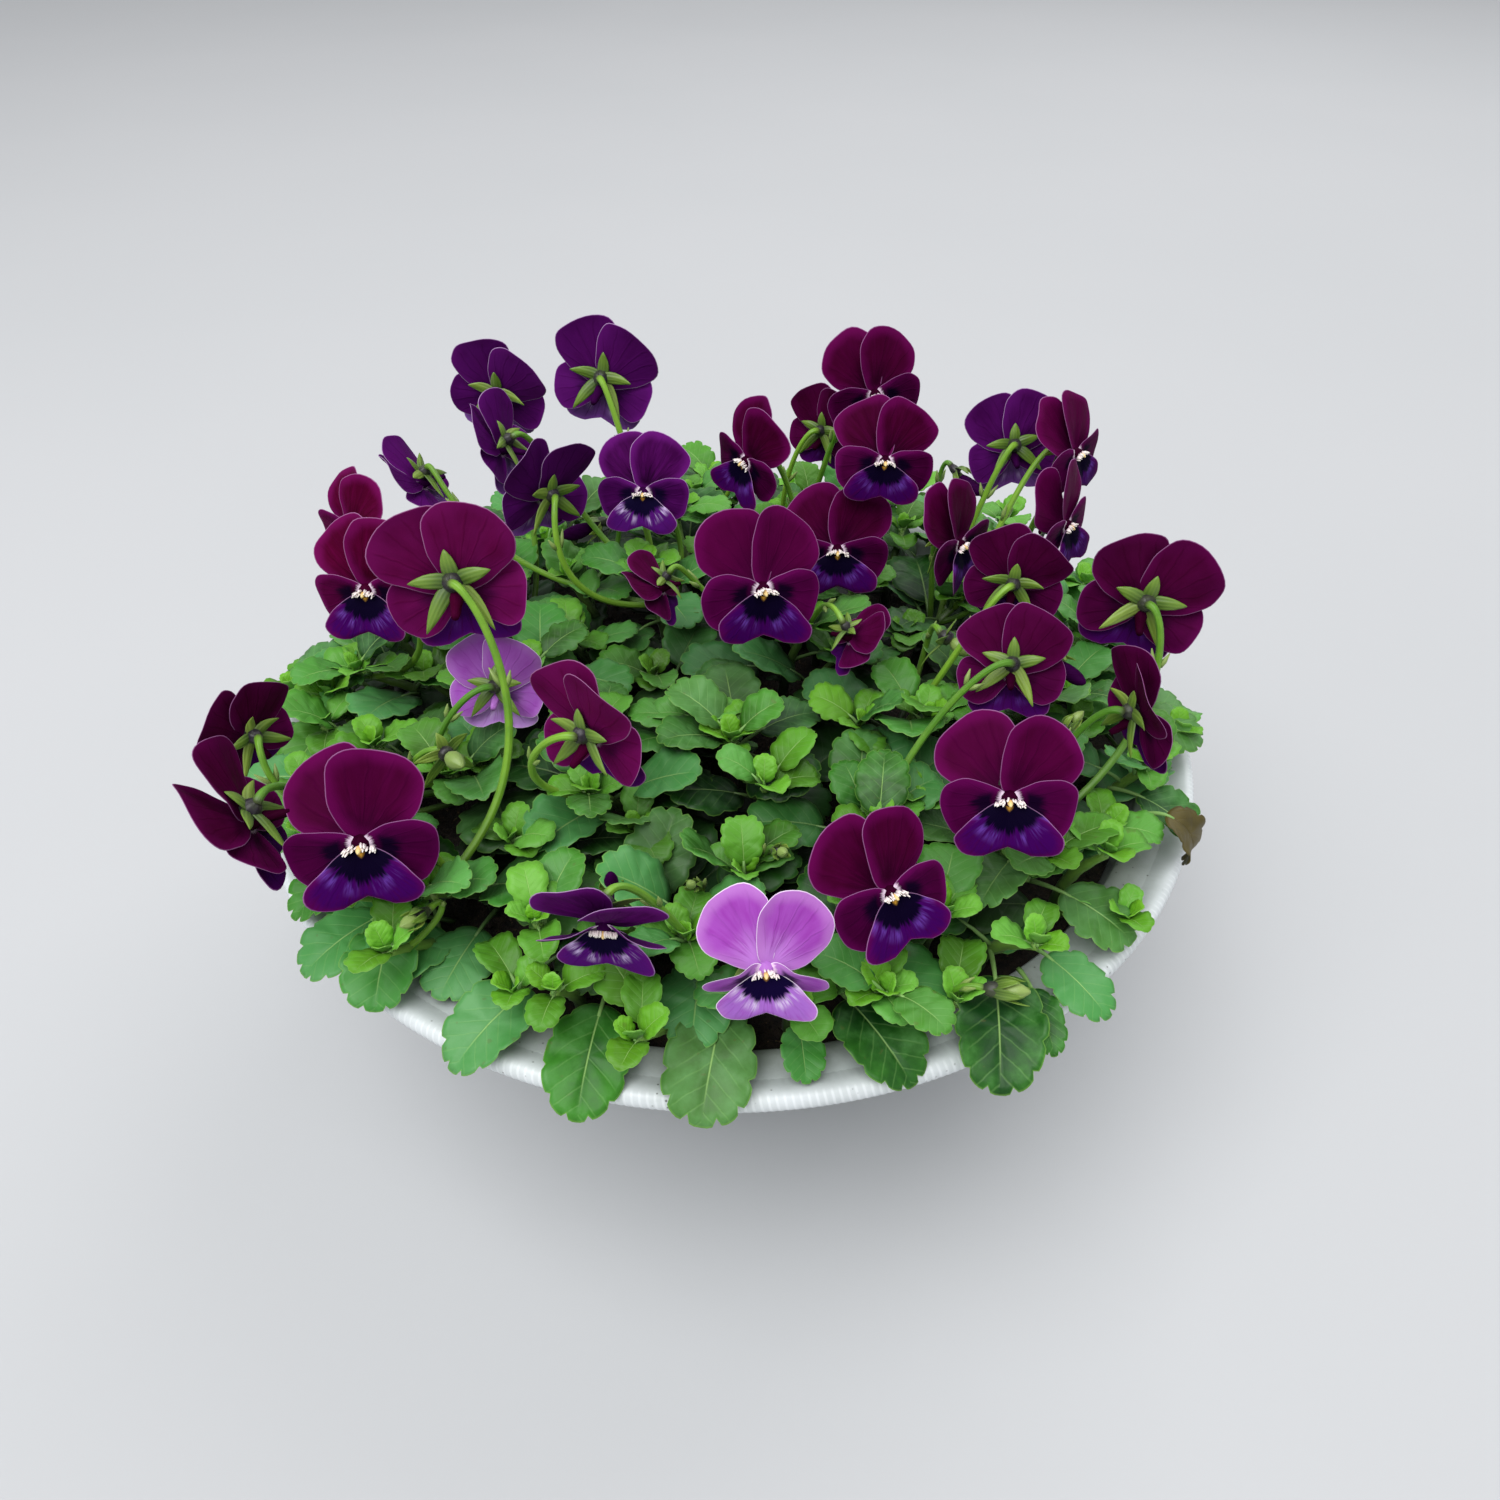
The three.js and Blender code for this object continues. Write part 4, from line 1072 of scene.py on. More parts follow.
def makeFlowers():
    finishes = {name: makePetalFinish(name, look) for name, look in petalLooks.items()}
    draw = Draw(petalDesign["seed"])
    throats = Skin()
    for i, row in enumerate(flowers):
        head, skin, luck = Head(row), Skin(), bloomHues[i]
        head.size *= bloomGrowth.get(i + 1, 1)
        swirl = [draw(0, 6.28) for _ in range(3)]
        for petal in petals:
            pose = petalPose(i, petal[5], 1 if math.cos(rad(petal[0])) > 0 else -1, draw)
            petalSkin(skin, head, petal, row[7], swirl, luck, draw, pose)
        spurSkin(skin, head, luck)
        throatSkin(throats, head, draw)
        name, node = f"violetBloom{i + 1:02d}", f"bloom_{i + 1:02d}"
        makePiece(name, skin, finishes[row[8]], [node])
    makePiece("throats", throats, makeThroatFinish())
    print("flowers made:", len(flowers))


makeFlowers()

leafDesign = {
    "thickness": 0.42,
    "scallop": 0.115,
    "fuller": 1.1,
    "foldAt": 0.48,
    "stalkRadii": (0.75, 0.42),
    "middleLength": 11.5,
    "ages": (0.1, 0.18, 0.35, 0.6),
    "sidePieces": 8,
    "seed": 808,
    "colours": {
        "dark": tint(8, 58, 10),
        "middle": tint(58, 130, 30),
        "fresh": tint(122, 190, 40),
        "blue": tint(76, 146, 82),
        "olive": tint(86, 122, 64),
        # pale patches: waxy bloom of older leaves, partly a painted sheen
        "bloom": tint(114, 164, 110),
        "sideVein": tint(126, 176, 96),
        "midVein": tint(166, 208, 120),
        "edge": tint(140, 190, 84),
        "spot": tint(92, 88, 44),
        "under": tint(120, 168, 96),
        "withered": (tint(40, 36, 16), tint(104, 92, 40)),
    },
}

# Lobes round the edge, points to a lobe, rings, the sides and rows of the stalk, depth of the lobes
leafGrades = {
    "large": (12, 6, (0.36, 0.66, 0.87, 1.0), 6, 7, 1),
    "middle": (12, 4, (0.4, 0.78, 1.0), 5, 4, 0.75),
    "small": (8, 4, (0.6, 1.0), 4, 3, 0.75),
    "tiny": (2, 5, (1.0,), 3, 2, 0.75),
}


def makeLeafFinish():
    finish = Finish("leafGreen", Specular_IOR_Level=0.3)
    colours = leafDesign["colours"]
    t, across = finish.map("leafPlace")
    tone, age = finish.map("leafLook")
    edge, side = finish.map("leafEdge")
    w = (across - 0.5) * 2
    far = abs(w)
    place = finish.place()
    mottle = finish.cloud(place, 160.0, 4.0, 0.6)
    broad = finish.cloud(place, 42.0, 2.0)
    way = finish.ramp(w, -0.001, 0.001) * 0.5
    slant = (t - far * 0.3) * 6.5 + way + tone * 3 + mottle * 0.4
    wave = abs(finish.sum("FRACT", slant) - 0.5) * 2
    sideVein = (1 - finish.ramp(wave, 0.02, 0.2)) * (1 - finish.ramp(far, 0.55, 1.0))
    sideVein = sideVein * finish.ramp(t, 0.02, 0.1)
    midVein = (1 - finish.ramp(far, 0.008, 0.036)) * (1 - finish.ramp(t, 0.5, 0.95))
    shade = broad * 0.4 + mottle * 0.45 + tone * 0.45 + t * 0.2 - (1 - far) * 0.1
    colour = finish.blend(colours["dark"], colours["middle"], finish.ramp(shade, 0.36, 0.82))
    colour = finish.blend(colour, colours["blue"], finish.ramp(tone + broad * 0.3, 0.6, 1.1) * 0.7)
    colour = finish.blend(colour, colours["fresh"], finish.ramp(age, 0.42, 1.15) * 0.85)
    olive = (1 - finish.ramp(abs(tone - 0.36), 0.03, 0.14)) * (1 - finish.ramp(age, 0.4, 0.8))
    colour = finish.blend(colour, colours["olive"], olive * 0.45)
    # pale patches on older leaves: waxy bloom and painted sheen
    bloom = finish.ramp(mottle * 0.6 + broad * 0.6, 0.5, 0.8) * (1 - finish.ramp(age, 0.4, 0.9))
    colour = finish.blend(colour, colours["bloom"], bloom * 0.34)
    colour = finish.blend(colour, colours["sideVein"], sideVein * 0.18)
    colour = finish.blend(colour, colours["midVein"], midVein * 0.55)
    colour = finish.blend(colour, colours["edge"], finish.ramp(edge, 0.965, 0.995) * 0.4)
    spots = finish.ramp(finish.cloud(place, 420.0, 1.0), 0.72, 0.78)
    colour = finish.blend(colour, colours["spot"], spots * 0.3)
    colour = finish.blend(finish.blend(colour, colours["under"], 0.5), colour, side)
    withered = finish.blend(*colours["withered"], mottle)
    colour = finish.blend(colour, withered, finish.ramp(age + mottle * 0.1 + t * 0.3, 1.7, 1.8))
    # painted shade: the leaves turn near-black green deep in the foliage
    colour = finish.paintDeepShade(colour, place)
    roughness = 0.36 + mottle * 0.2
    height = mottle * 0.4 - sideVein * 0.16 - midVein * 0.7 + finish.ramp(wave, 0.1, 0.9) * 0.1
    return finish.finishWith(colour, roughness, height, 0.0004, 0.5)


def leafSkin(skin, leaf, draw, grade):
    lobes, each, levels, sides, rows, lobeDepth = leafGrades[grade]
    share, angle, side, faces = patchGrid(levels, lobes * each)
    t = (1 - np.cos(np.radians(angle))) / 2
    away = np.abs(angle - 180) / 180
    rounded = np.sqrt(np.abs(np.cos(np.radians(angle) * lobes / 2)))
    depth = leafDesign["scallop"] * smooth(1 - away, 0.12, 0.34) * draw(0.75, 1.25) * lobeDepth
    around = np.sin(np.radians(angle))
    half = leafDesign["fuller"] * leaf["width"] * 0.5 * np.abs(around) ** draw(0.84, 1.0)
    half = half * (1 + draw(-0.16, 0.12) * np.cos(np.radians(angle)))
    swell = 1 - depth * (1 - rounded) ** 1.7 + depth * 0.2
    middle = leafDesign["foldAt"]
    tt = middle + share * (t - middle) * swell
    vv = -np.sign(around + 1e-12) * half * swell * share
    s = leaf["stalk"] + leaf["length"] * tt
    points = leafPoint(leaf, s, vv)
    a = leaf["rise"] - leaf["bend"] * s
    c, n = math.cos(leaf["azimuth"]), math.sin(leaf["azimuth"])
    normal = np.stack([-np.sin(a) * c, -np.sin(a) * n, np.cos(a)], -1)
    out = np.stack([np.cos(a) * c, np.cos(a) * n, np.sin(a)], -1)
    w = np.abs(vv) / (leaf["width"] / 2)
    phase, size = draw(0, 6.28), leaf["length"] / 24
    curl = draw(-0.9, 1.0) * w**2.2 * leaf["width"] * 0.09
    ripple = np.sin(t * 15 + phase + np.sign(vv) * 1.3) * w**2 * 0.6 * size
    quilt = (np.abs(np.sin((tt - w * 0.3) * 6.5 * np.pi)) - 0.5) * 0.09 * size
    quilt = quilt * smooth(w, 0.03, 0.35) * (1 - smooth(w, 0.8, 1))
    groove = -0.35 * np.exp(-((vv / 0.8) ** 2)) * size
    droop = -0.8 * size * smooth(tt, 0.75, 1.05) * draw(0, 1)
    thick = leafDesign["thickness"] * (0.5 - 0.3 * share**3)
    points = points + normal * (curl + ripple + quilt + groove + droop + side * thick)[:, None]
    points = points + out * (np.sin(tt * 9 + phase) * 0.2 * size)[:, None]
    tone = leaf.setdefault("tone", draw(0, 1))
    maps = {
        "leafPlace": (tt, 0.5 + vv / leaf["width"]),
        "leafLook": (tone, leaf["age"]),
        "leafEdge": (share, (side + 1) / 2),
    }
    skin.add(points, *faces, **maps)
    leafStalkSkin(skin, leaf, size, sides, rows)


def leafStalkSkin(skin, leaf, size, sides, rows):  # it runs on under the foot of the blade
    s = np.linspace(0, leaf["stalk"] + leaf["length"] * 0.12, rows)
    groove = np.interp(s, [0, leaf["stalk"], s[-1]], [0, 0, -0.3])
    path = leafPoint(leaf, s, 0 * s) + vec(0, 0, 1) * groove[:, None]
    radii = np.interp(s, [0, s[-1]], leafDesign["stalkRadii"]) * (0.7 + 0.3 * size)
    points, caps, quads, *_ = tube(path, radii, sides)
    maps = {"leafPlace": (0.3, 0.5), "leafLook": (leaf["tone"], 0.6), "leafEdge": (0.3, 0.7)}
    skin.add(points, caps, quads, **maps)


def stipuleSkin(skin, leaf, draw):  # a pair of narrow leafy lobes at the foot of each leaf stalk
    for way in (-1, 1):
        lobe = {"root": leaf["root"], "tone": leaf["tone"], "age": 0.6, "stalk": 0.4, "tilt": 0, "fold": 0.2}
        lobe.update(length=draw(4.5, 7), width=draw(1.8, 2.6))
        lobe.update(azimuth=leaf["azimuth"] + way * rad(draw(38, 70)), rise=rad(draw(20, 50)))
        lobe["bend"] = rad(40) / lobe["length"]
        leafSkin(skin, lobe, draw, "tiny")


def youngSkin(skin, leaf, draw):
    leafSkin(skin, leaf, draw, "middle" if leaf["length"] > leafDesign["middleLength"] else "small")


def ofShoot(rows, index):
    return [row for row in rows if row["index"] == index]


def makeLeaves():
    finish = makeLeafFinish()
    draw = Draw(leafDesign["seed"])
    for leaf in leaves:
        leaf["age"] = leafDesign["ages"][leaf["slot"]] + draw(-0.1, 0.15)
    for i in range(growth["shoots"]):
        skin = Skin()
        for leaf in ofShoot(leaves, i):
            leafSkin(skin, leaf, draw, "large")
            stipuleSkin(skin, leaf, draw)
        for leaf in tufts[i] + ofShoot(mainExtras, i):
            youngSkin(skin, leaf, draw)
        makePiece(f"shootLeaves{i + 1:02d}", skin, finish, [f"shoot_{i + 1:02d}"])
    pieces = leafDesign["sidePieces"]
    for first in range(pieces):
        skin = Skin()
        for index in range(first, len(sideShoots), pieces):
            for leaf in ofShoot(sideLeaves, index) + sideTufts[index]:
                youngSkin(skin, leaf, draw)
        makePiece(f"sideLeaves{first + 1}", skin, finish)
    skin = Skin()
    for leaf in rimGreens:
        leafSkin(skin, leaf, draw, "large")
    makePiece("rimLeaves", skin, finish)
    print("leaves made")


makeLeaves()

stemDesign = {
    "stemRadius": 1.7,
    "stalkRadius": 1.02,
    "sepalWidth": 3.4,
    "sepalThickness": 0.42,
    "openBud": 66,
    "closedBud": 82,
    "petalsFrom": 0.15,
    "seed": 303,
    "colours": {
        "stem": (tint(74, 116, 44), tint(112, 156, 58)),
        "stalk": (tint(76, 132, 26), tint(128, 176, 46)),
        "stalkTop": tint(64, 48, 46),
        "hub": (tint(30, 22, 34), tint(58, 66, 40)),
        "sepal": (tint(36, 66, 18), tint(98, 132, 38)),
        "sepalLine": tint(168, 190, 80),
        "sepalFoot": tint(96, 74, 66),
        "scale": (tint(104, 138, 60), tint(156, 176, 96)),
    },
}

stemKinds = {"stem": 0.1, "stalk": 0.3, "hub": 0.5, "sepal": 0.7, "scale": 0.9}


def makeStemFinish():
    finish = Finish("stemGreen", Sheen_Weight=0.05)
    colours = stemDesign["colours"]
    along, across = finish.map("stemPlace")
    kind, luck = finish.map("stemKind")
    place = finish.place()
    mottle = finish.cloud(place, 220.0, 3.0, 0.6)
    lines = finish.sum("SINE", across * 44 + mottle * 3) * 0.5 + 0.5
    stem = finish.blend(*colours["stem"], finish.ramp(along * 0.5 + mottle, 0.4, 1.0))
    stalk = finish.blend(*colours["stalk"], finish.ramp(mottle * 0.5 + luck * 0.5, 0.2, 0.8))
    stalk = finish.blend(stalk, colours["stalkTop"], finish.ramp(along, 0.93, 1.0) * 0.8)
    hub = finish.blend(*colours["hub"], finish.ramp(mottle, 0.4, 0.7))
    sepal = finish.blend(*colours["sepal"], finish.ramp(along + mottle * 0.3, 0.24, 0.95))
    sepal = finish.blend(sepal, colours["sepalLine"], lines * 0.1 + finish.ramp(luck, 0.6, 1.0) * 0.3)
    sepal = finish.blend(sepal, colours["sepalFoot"], (1 - finish.ramp(along, 0.02, 0.14)) * 0.7)
    scale = finish.blend(*colours["scale"], mottle)
    colour = finish.blend(stem, stalk, finish.ramp(kind, 0.19, 0.21))
    colour = finish.blend(colour, hub, finish.ramp(kind, 0.39, 0.41))
    colour = finish.blend(colour, sepal, finish.ramp(kind, 0.59, 0.61))
    colour = finish.blend(colour, scale, finish.ramp(kind, 0.79, 0.81))
    # painted shade: the stems turn near-black green deep in the foliage
    colour = finish.paintDeepShade(colour, place)
    height = lines * 0.6 + mottle * 0.6
    return finish.finishWith(colour, 0.36 + mottle * 0.18, height, 0.0002, 0.4)


def addTube(skin, path, radii, sides, kind, luck):
    points, caps, quads, along, turn = tube(path, radii, sides)
    skin.add(points, caps, quads, stemPlace=(along, turn), stemKind=(stemKinds[kind], luck))


def stemSkin(skin, shoot, draw, rows=30, sides=10):
    t = np.linspace(0, 1, rows)
    slots = growth["leafSlots"]
    nodes = growth["nodesFrom"] + growth["nodesSpan"] * np.arange(slots) / (slots - 1)
    swell = sum(np.exp(-(((t - node) / 0.022) ** 2)) for node in nodes)
    radii = np.interp(t, [0, 0.5, 1], [1, 0.9, 0.55]) * stemDesign["stemRadius"] * (1 + 0.22 * swell)
    path = stemPoint(shoot, t)
    path = np.vstack([shoot["foot"] - vec(0, 0, 6), path])
    addTube(skin, path, np.concatenate([radii[:1], radii]), sides, "stem", draw(0, 1))


def sepalSkin(skin, head, angle, luck, opening=None):  # spread behind a flower, raised round a bud
    share, around, side, faces = patchGrid((0.45, 0.8, 1.0), 22)
    t = (1 - np.cos(np.radians(around))) / 2
    half = stemDesign["sepalWidth"] / 2 * np.sin(np.pi * np.clip(t, 1e-6, 1) ** 0.82) ** 0.8
    foot, length = -1.4, sepalLength * (1 - 0.16 * math.sin(rad(angle))) + 1.4
    s = foot + length * (0.4 + share * (t - 0.4))
    v = -np.sign(np.sin(np.radians(around)) + 1e-12) * half * share
    keel = np.exp(-((v / 0.9) ** 2)) * (1 - share * 0.6)
    z = side * stemDesign["sepalThickness"] * (0.5 - 0.36 * share**2) - 0.25 * keel + 0.05 * v * v
    z = z - 0.5 * np.exp(-(((s - foot) / 2) ** 2)) + 0.35 * np.sin(s * 0.5 + luck * 6)
    if opening is None:
        points = sepalPlace(head, angle, s, v + (luck - 0.5) * 0.03 * s * s, z)
        points = points - vec(0, 0, 0.012 + luck * 0.018) * (np.maximum(s, 0) ** 2)[:, None] * head.size
    else:
        k, lift = head.size, rad(opening)
        rise = s * math.sin(lift) - z * math.cos(lift) / k
        belly = 0.9 * np.sin(np.clip(s / length, 0, 1) * 3.1)
        out = np.abs(s) * math.cos(lift) + z * math.sin(lift) / k + 1.7 + belly
        c, n = cosSin(angle)
        x, y = (c * out - n * v) * k, (n * out + c * v + calyxRaise) * k
        points = head.at(x, y, calyxFront - 1.4 + rise * k)
    maps = {"stemPlace": ((s - foot) / length, 0.5 + v / 6), "stemKind": (stemKinds["sepal"], luck)}
    skin.add(points, *faces, **maps)


def stalkSkin(skin, stalk, draw, opening=None):
    path, head = stalk["path"], stalk["head"]
    k = head.size
    t = np.linspace(0, 1, 34)
    radii = np.interp(t, [0, 0.06, 0.2, 0.85, 1], [1.25, 1.0, 0.95, 0.85, 1.1]) * stemDesign["stalkRadius"]
    addTube(skin, path(t), radii * (0.6 + 0.4 * k), 8, "stalk", draw(0, 1))
    at = draw(0.5, 0.66)
    scales = path(vec(at, at + 0.02))
    for way in (-1, 1):
        side = np.cross(unit(scales[1] - scales[0]), head.face) * way
        start = scales[0] + side * 0.8
        tip = start + side * draw(1.2, 2.2) + unit(scales[1] - scales[0]) * draw(3.4, 5)
        addTube(skin, [start, mix(start, tip, 0.4), tip], [0.5, 0.75, 0.15], 5, "scale", draw(0, 1))
    ends = np.array([-3.4, -3.0, -2.0, -0.9, 0.0, 0.35]) + calyxFront
    widths = np.array([0.9, 1.6, 2.15, 2.3, 2.1, 1.3]) * k
    addTube(skin, head.at(0 * ends, calyxRaise * k, ends), widths, 12, "hub", draw(0, 1))
    for angle in sepalAngles:
        sepalSkin(skin, head, angle + draw(-5, 5), draw(0, 1), opening)


def budSkin(skin, bud):  # rolled petals of a bud that hasn't opened
    head, k = bud["head"], bud["head"].size
    z = np.array([-1.5, 0, 2, 5, 8, 10.5, 12.5, 13.6])
    radii = np.array([1.5, 2.3, 2.9, 3.3, 3.2, 2.6, 1.6, 0.5])
    path = head.at(0 * z, (calyxRaise + 0.06 * z * z * 0.3) * k, z * k)
    addSpurTube(skin, path, radii * k, 14, 0.4)


def podSkin(skin, stalk, draw):  # the seed pod that swells where the petals have dropped
    head, k = stalk["head"], stalk["head"].size
    z = np.array([-2.4, -1.4, 0.2, 2.0, 3.6, 4.8, 5.6])
    radii = np.array([1.0, 1.9, 2.5, 2.5, 1.9, 1.0, 0.4])
    addTube(skin, head.at(0 * z, calyxRaise * k, z * k), radii * k, 10, "scale", draw(0, 1))


def makeStems():
    finish = makeStemFinish()
    draw = Draw(stemDesign["seed"])
    for i, shoot in enumerate(shoots):
        skin = Skin()
        stemSkin(skin, shoot, draw)
        for stalk in ofShoot(stalks, i):
            stalkSkin(skin, stalk, draw)
            if stalk["head"].bare:
                podSkin(skin, stalk, draw)
        makePiece(f"shootStems{i + 1:02d}", skin, finish, [f"shoot_{i + 1:02d}"])
    skin = Skin()
    for shoot in sideShoots:
        stemSkin(skin, shoot, draw, 14, 6)
    makePiece("sideStems", skin, finish)
    skin, budPetals = Skin(), Skin()
    for bud in budStalks:
        hasPetals = bud["open"] > stemDesign["petalsFrom"]
        stalkSkin(skin, bud, draw, stemDesign["openBud" if hasPetals else "closedBud"])
        if hasPetals:
            budSkin(budPetals, bud)
        else:
            podSkin(skin, bud, draw)
    makePiece("budStems", skin, finish)
    makePiece("budPetals", budPetals, bpy.data.materials["petalViolet"])
    print("stems made")


makeStems()

planter = {
    "sides": 160,
    "lipRibs": 480,
    "ribHeight": 0.07,
    "baseRadius": 70,
    "floorThickness": 3.2,
    "wall": 2.2,
    "flangeInner": 119.3,
    "drainHoles": 6,
    "drainRadius": 4.5,
    "drainCircle": 46,
    "colours": {
        "plain": (tint(200, 206, 206), tint(182, 190, 190)),
        "lip": tint(216, 222, 224),
        # grey of the patches on the rim, greyer towards the inner edge of the flange
        "greyerInward": tint(132, 140, 130),
        # painted highlight on the fine ribs of the lip
        "ribGlint": tint(248, 252, 254),
        "stain": tint(96, 90, 74),
        "wallStain": tint(176, 182, 178),
        "dirt": tint(52, 46, 36),
    },
}

# Radius and height round the bowl, from the underside up to the flange
bowlOutside = [
    [0, 0.8], [66, 0.8], [67, 0], [69.2, 0], [70.3, 0.8], [96, 46], [121.5, 90], [124, 92.6],
    [130.5, 96.6], [131.4, 97.6], [131.2, 98.6], [130.2, 99.35], [128.6, 99.1], [122, 98.6],
    [120, 98.1], [planter["flangeInner"], 97.3],
]

# The rolled lip over the bowl's edge
lipProfile = [
    [130.2, 97.9], [132.2, 97.7], [132.8, 96.8], [133.5, 96.4], [134.4, 96.6],
    [134.85, 97.2], [134.95, 98.2], [134.75, 99.3], [134.1, 100.2], [133.1, 100.6],
    [131.8, 100.45], [130.4, 100.0], [129.0, 99.4], [127.4, 98.8],
]


def lathe(profile, sides, reachAt=None):  # a closed ring of the profile's points round the middle
    profile = np.asarray(profile, float)
    rows, k = len(profile), np.arange(sides)
    angle = 2 * np.pi * k / sides
    radius = np.repeat(profile[:, :1], sides, 1)
    if reachAt is not None:
        radius = radius + reachAt(profile[:, 1][:, None], angle[None, :])
    height = np.repeat(profile[:, 1:], sides, 1)
    points = np.stack([radius * np.cos(angle), radius * np.sin(angle), height], -1)
    row = np.arange(rows)[:, None]
    after, below = (k + 1) % sides, (row + 1) % rows
    quads = np.stack([row * sides + k, row * sides + after, below * sides + after, below * sides + k], -1)
    return points.reshape(-1, 3), quads.reshape(-1, 4)


def latheDisc(profile, sides):  # the same with both ends of the profile on the axis
    points, quads = lathe(profile[1:-1], sides)
    quads = quads[: -sides]
    first, last = len(points), len(points) + 1
    points = np.vstack([points, [[0, 0, profile[0][1]], [0, 0, profile[-1][1]]]])
    k = np.arange(sides)
    after = (k + 1) % sides
    end = (len(profile) - 3) * sides
    caps = [np.stack([0 * k + first, after, k], 1), np.stack([0 * k + last, end + k, end + after], 1)]
    return points, np.vstack(caps), quads


def makePlanterFinish():
    finish = Finish("planterWhite", Specular_IOR_Level=0.5)
    colours = planter["colours"]
    place = finish.place()
    x, y, z = finish.split(place)
    reach = (x * x + y * y) ** 0.5
    wide = finish.cloud(place, 16.0, 4.0, 0.6)
    patch = finish.cloud(place, 48.0, 5.0, 0.65)
    grain = finish.cloud(place, 700.0, 2.0)
    speck = finish.cells(place, 420.0)
    onRim = finish.ramp(z, 0.093, 0.097)
    inner = 1 - finish.ramp(reach, 0.119, 0.131)
    # grey patches on the rim, much stronger towards the inner edge of the flange
    greyerInward = finish.ramp(patch * 0.6 + wide * 0.4 + inner * 0.12, 0.46, 0.66)
    turn = finish.sum("ARCTAN2", y, x)
    # painted highlights where the fine ribs of the lip catch the light
    ribGlints = finish.sum("SINE", turn * planter["lipRibs"] + z * 700 + patch * 3)
    ribGlints = finish.ramp(ribGlints + patch, 0.6, 1.5)
    ribGlints = ribGlints * finish.ramp(reach + patch * 0.002, 0.1334, 0.1348) * onRim
    colour = finish.blend(*colours["plain"], wide)
    colour = finish.blend(colour, colours["lip"], finish.ramp(reach, 0.129, 0.1335) * onRim)
    colour = finish.blend(colour, colours["greyerInward"], greyerInward * onRim * (0.25 + inner * 0.6))
    colour = finish.blend(colour, colours["ribGlint"], ribGlints * 0.3)
    colour = finish.blend(colour, colours["stain"], finish.ramp(patch, 0.6, 0.7) * onRim * inner * 0.8)
    wallStain = finish.ramp(patch, 0.46, 0.72) * (1 - onRim)
    colour = finish.blend(colour, colours["wallStain"], wallStain * 0.28)
    dirt = (1 - finish.ramp(speck, 0.06, 0.16)) * finish.ramp(patch, 0.5, 0.6)
    colour = finish.blend(colour, colours["dirt"], dirt * onRim * 0.8)
    return finish.finishWith(colour, 0.3 + greyerInward * 0.2 + grain * 0.06, grain + dirt * 2, 0.0001, 0.3)


def drillHoles(piece):  # the drain holes in the bottom
    cutter = Skin()
    for i in range(planter["drainHoles"]):
        middle = spot(planter["drainCircle"], 2 * math.pi * i / planter["drainHoles"], 0)
        rows = [[0, -4], [planter["drainRadius"], -4], [planter["drainRadius"], 9], [0, 9]]
        points, caps, quads = latheDisc(rows, 32)
        cutter.add(points + middle, caps, quads)
    points = np.vstack(cutter.points) / 1000
    faces = [face.tolist() for size in (3, 4) for group in cutter.faces[size] for face in group]
    mesh = bpy.data.meshes.new("drill")
    mesh.from_pydata(points.tolist(), [], faces)
    drill = bpy.data.objects.new("drill", mesh)
    bpy.context.scene.collection.objects.link(drill)
    cut = piece.modifiers.new("cut", "BOOLEAN")
    cut.operation, cut.solver, cut.object = "DIFFERENCE", "EXACT", drill
    graph = bpy.context.evaluated_depsgraph_get()
    drilled = bpy.data.meshes.new_from_object(piece.evaluated_get(graph))
    piece.modifiers.clear()
    piece.data = drilled
    bpy.data.objects.remove(drill)


def smoothBySlope(piece, degrees):  # steeper edges stay sharp
    piece.data.set_sharp_from_angle(angle=rad(degrees))


def makePlanter():
    finish = makePlanterFinish()
    innerFoot = planter["baseRadius"] - planter["wall"] + 1.6
    innerEdge = planter["flangeInner"] - 0.6
    low = planter["floorThickness"]
    inside = [
        [innerEdge, 93], [mix(innerFoot, innerEdge, 0.5), 48], [innerFoot + 2, low + 2],
        [innerFoot - 1, low], [0, low],
    ]
    skin = Skin()
    skin.add(*latheDisc(bowlOutside + inside, planter["sides"]))
    bowl = makePiece("planterBowl", skin, finish, ["pot"])
    drillHoles(bowl)
    smoothBySlope(bowl, 40)

    def rib(z, angle):  # fine ribs on the outside of the lip
        outer = smooth(z, 96.5, 97.4) * (1 - smooth(z, 100.0, 100.7))
        return planter["ribHeight"] * outer * np.sin(angle * planter["lipRibs"] + z * 0.7)

    points, quads = lathe(lipProfile, planter["lipRibs"] * 4, rib)
    skin = Skin()
    skin.add(points, [], quads)
    smoothBySlope(makePiece("planterLip", skin, finish, ["pot"]), 50)
    print("planter made")


soil = {
    "sides": 120,
    "rings": 34,
    "reach": 117.0,
    "footRadius": 69.0,
    "lumpSeed": 99,
    "lumpWaves": 14,
    "lumpHeight": 1.3,
    "sink": 0.4,
    "crumbs": 1800,
    "seed": 4242,
    "colours": (tint(16, 12, 8), tint(52, 39, 27)),
    "fibre": tint(112, 90, 62),
}


def makeSoilFinish():
    finish = Finish("pottingSoil")
    place = finish.place()
    grain = finish.cloud(place, 420.0, 5.0, 0.7)
    clods = finish.cells(place, 260.0)
    colour = finish.blend(*soil["colours"], finish.ramp(grain, 0.35, 0.75))
    fibres = finish.ramp(finish.cloud(place, 900.0, 2.0), 0.66, 0.74)
    colour = finish.blend(colour, soil["fibre"], fibres * 0.7)
    return finish.finishWith(colour, 0.8 + grain * 0.2, grain * 2 - clods, 0.001, 0.9)


def soilLumps(x, y):  # soft bumps, always the same at the same place
    draw = Draw(soil["lumpSeed"])
    total = 0
    for _ in range(soil["lumpWaves"]):
        angle, pitch, phase = draw(0, 6.28), draw(2.5, 14), draw(0, 6.28)
        wave = x * math.cos(angle) + y * math.sin(angle)
        total = total + np.sin(wave * 6.28 / pitch + phase) * pitch / 40
    return total * soil["lumpHeight"]


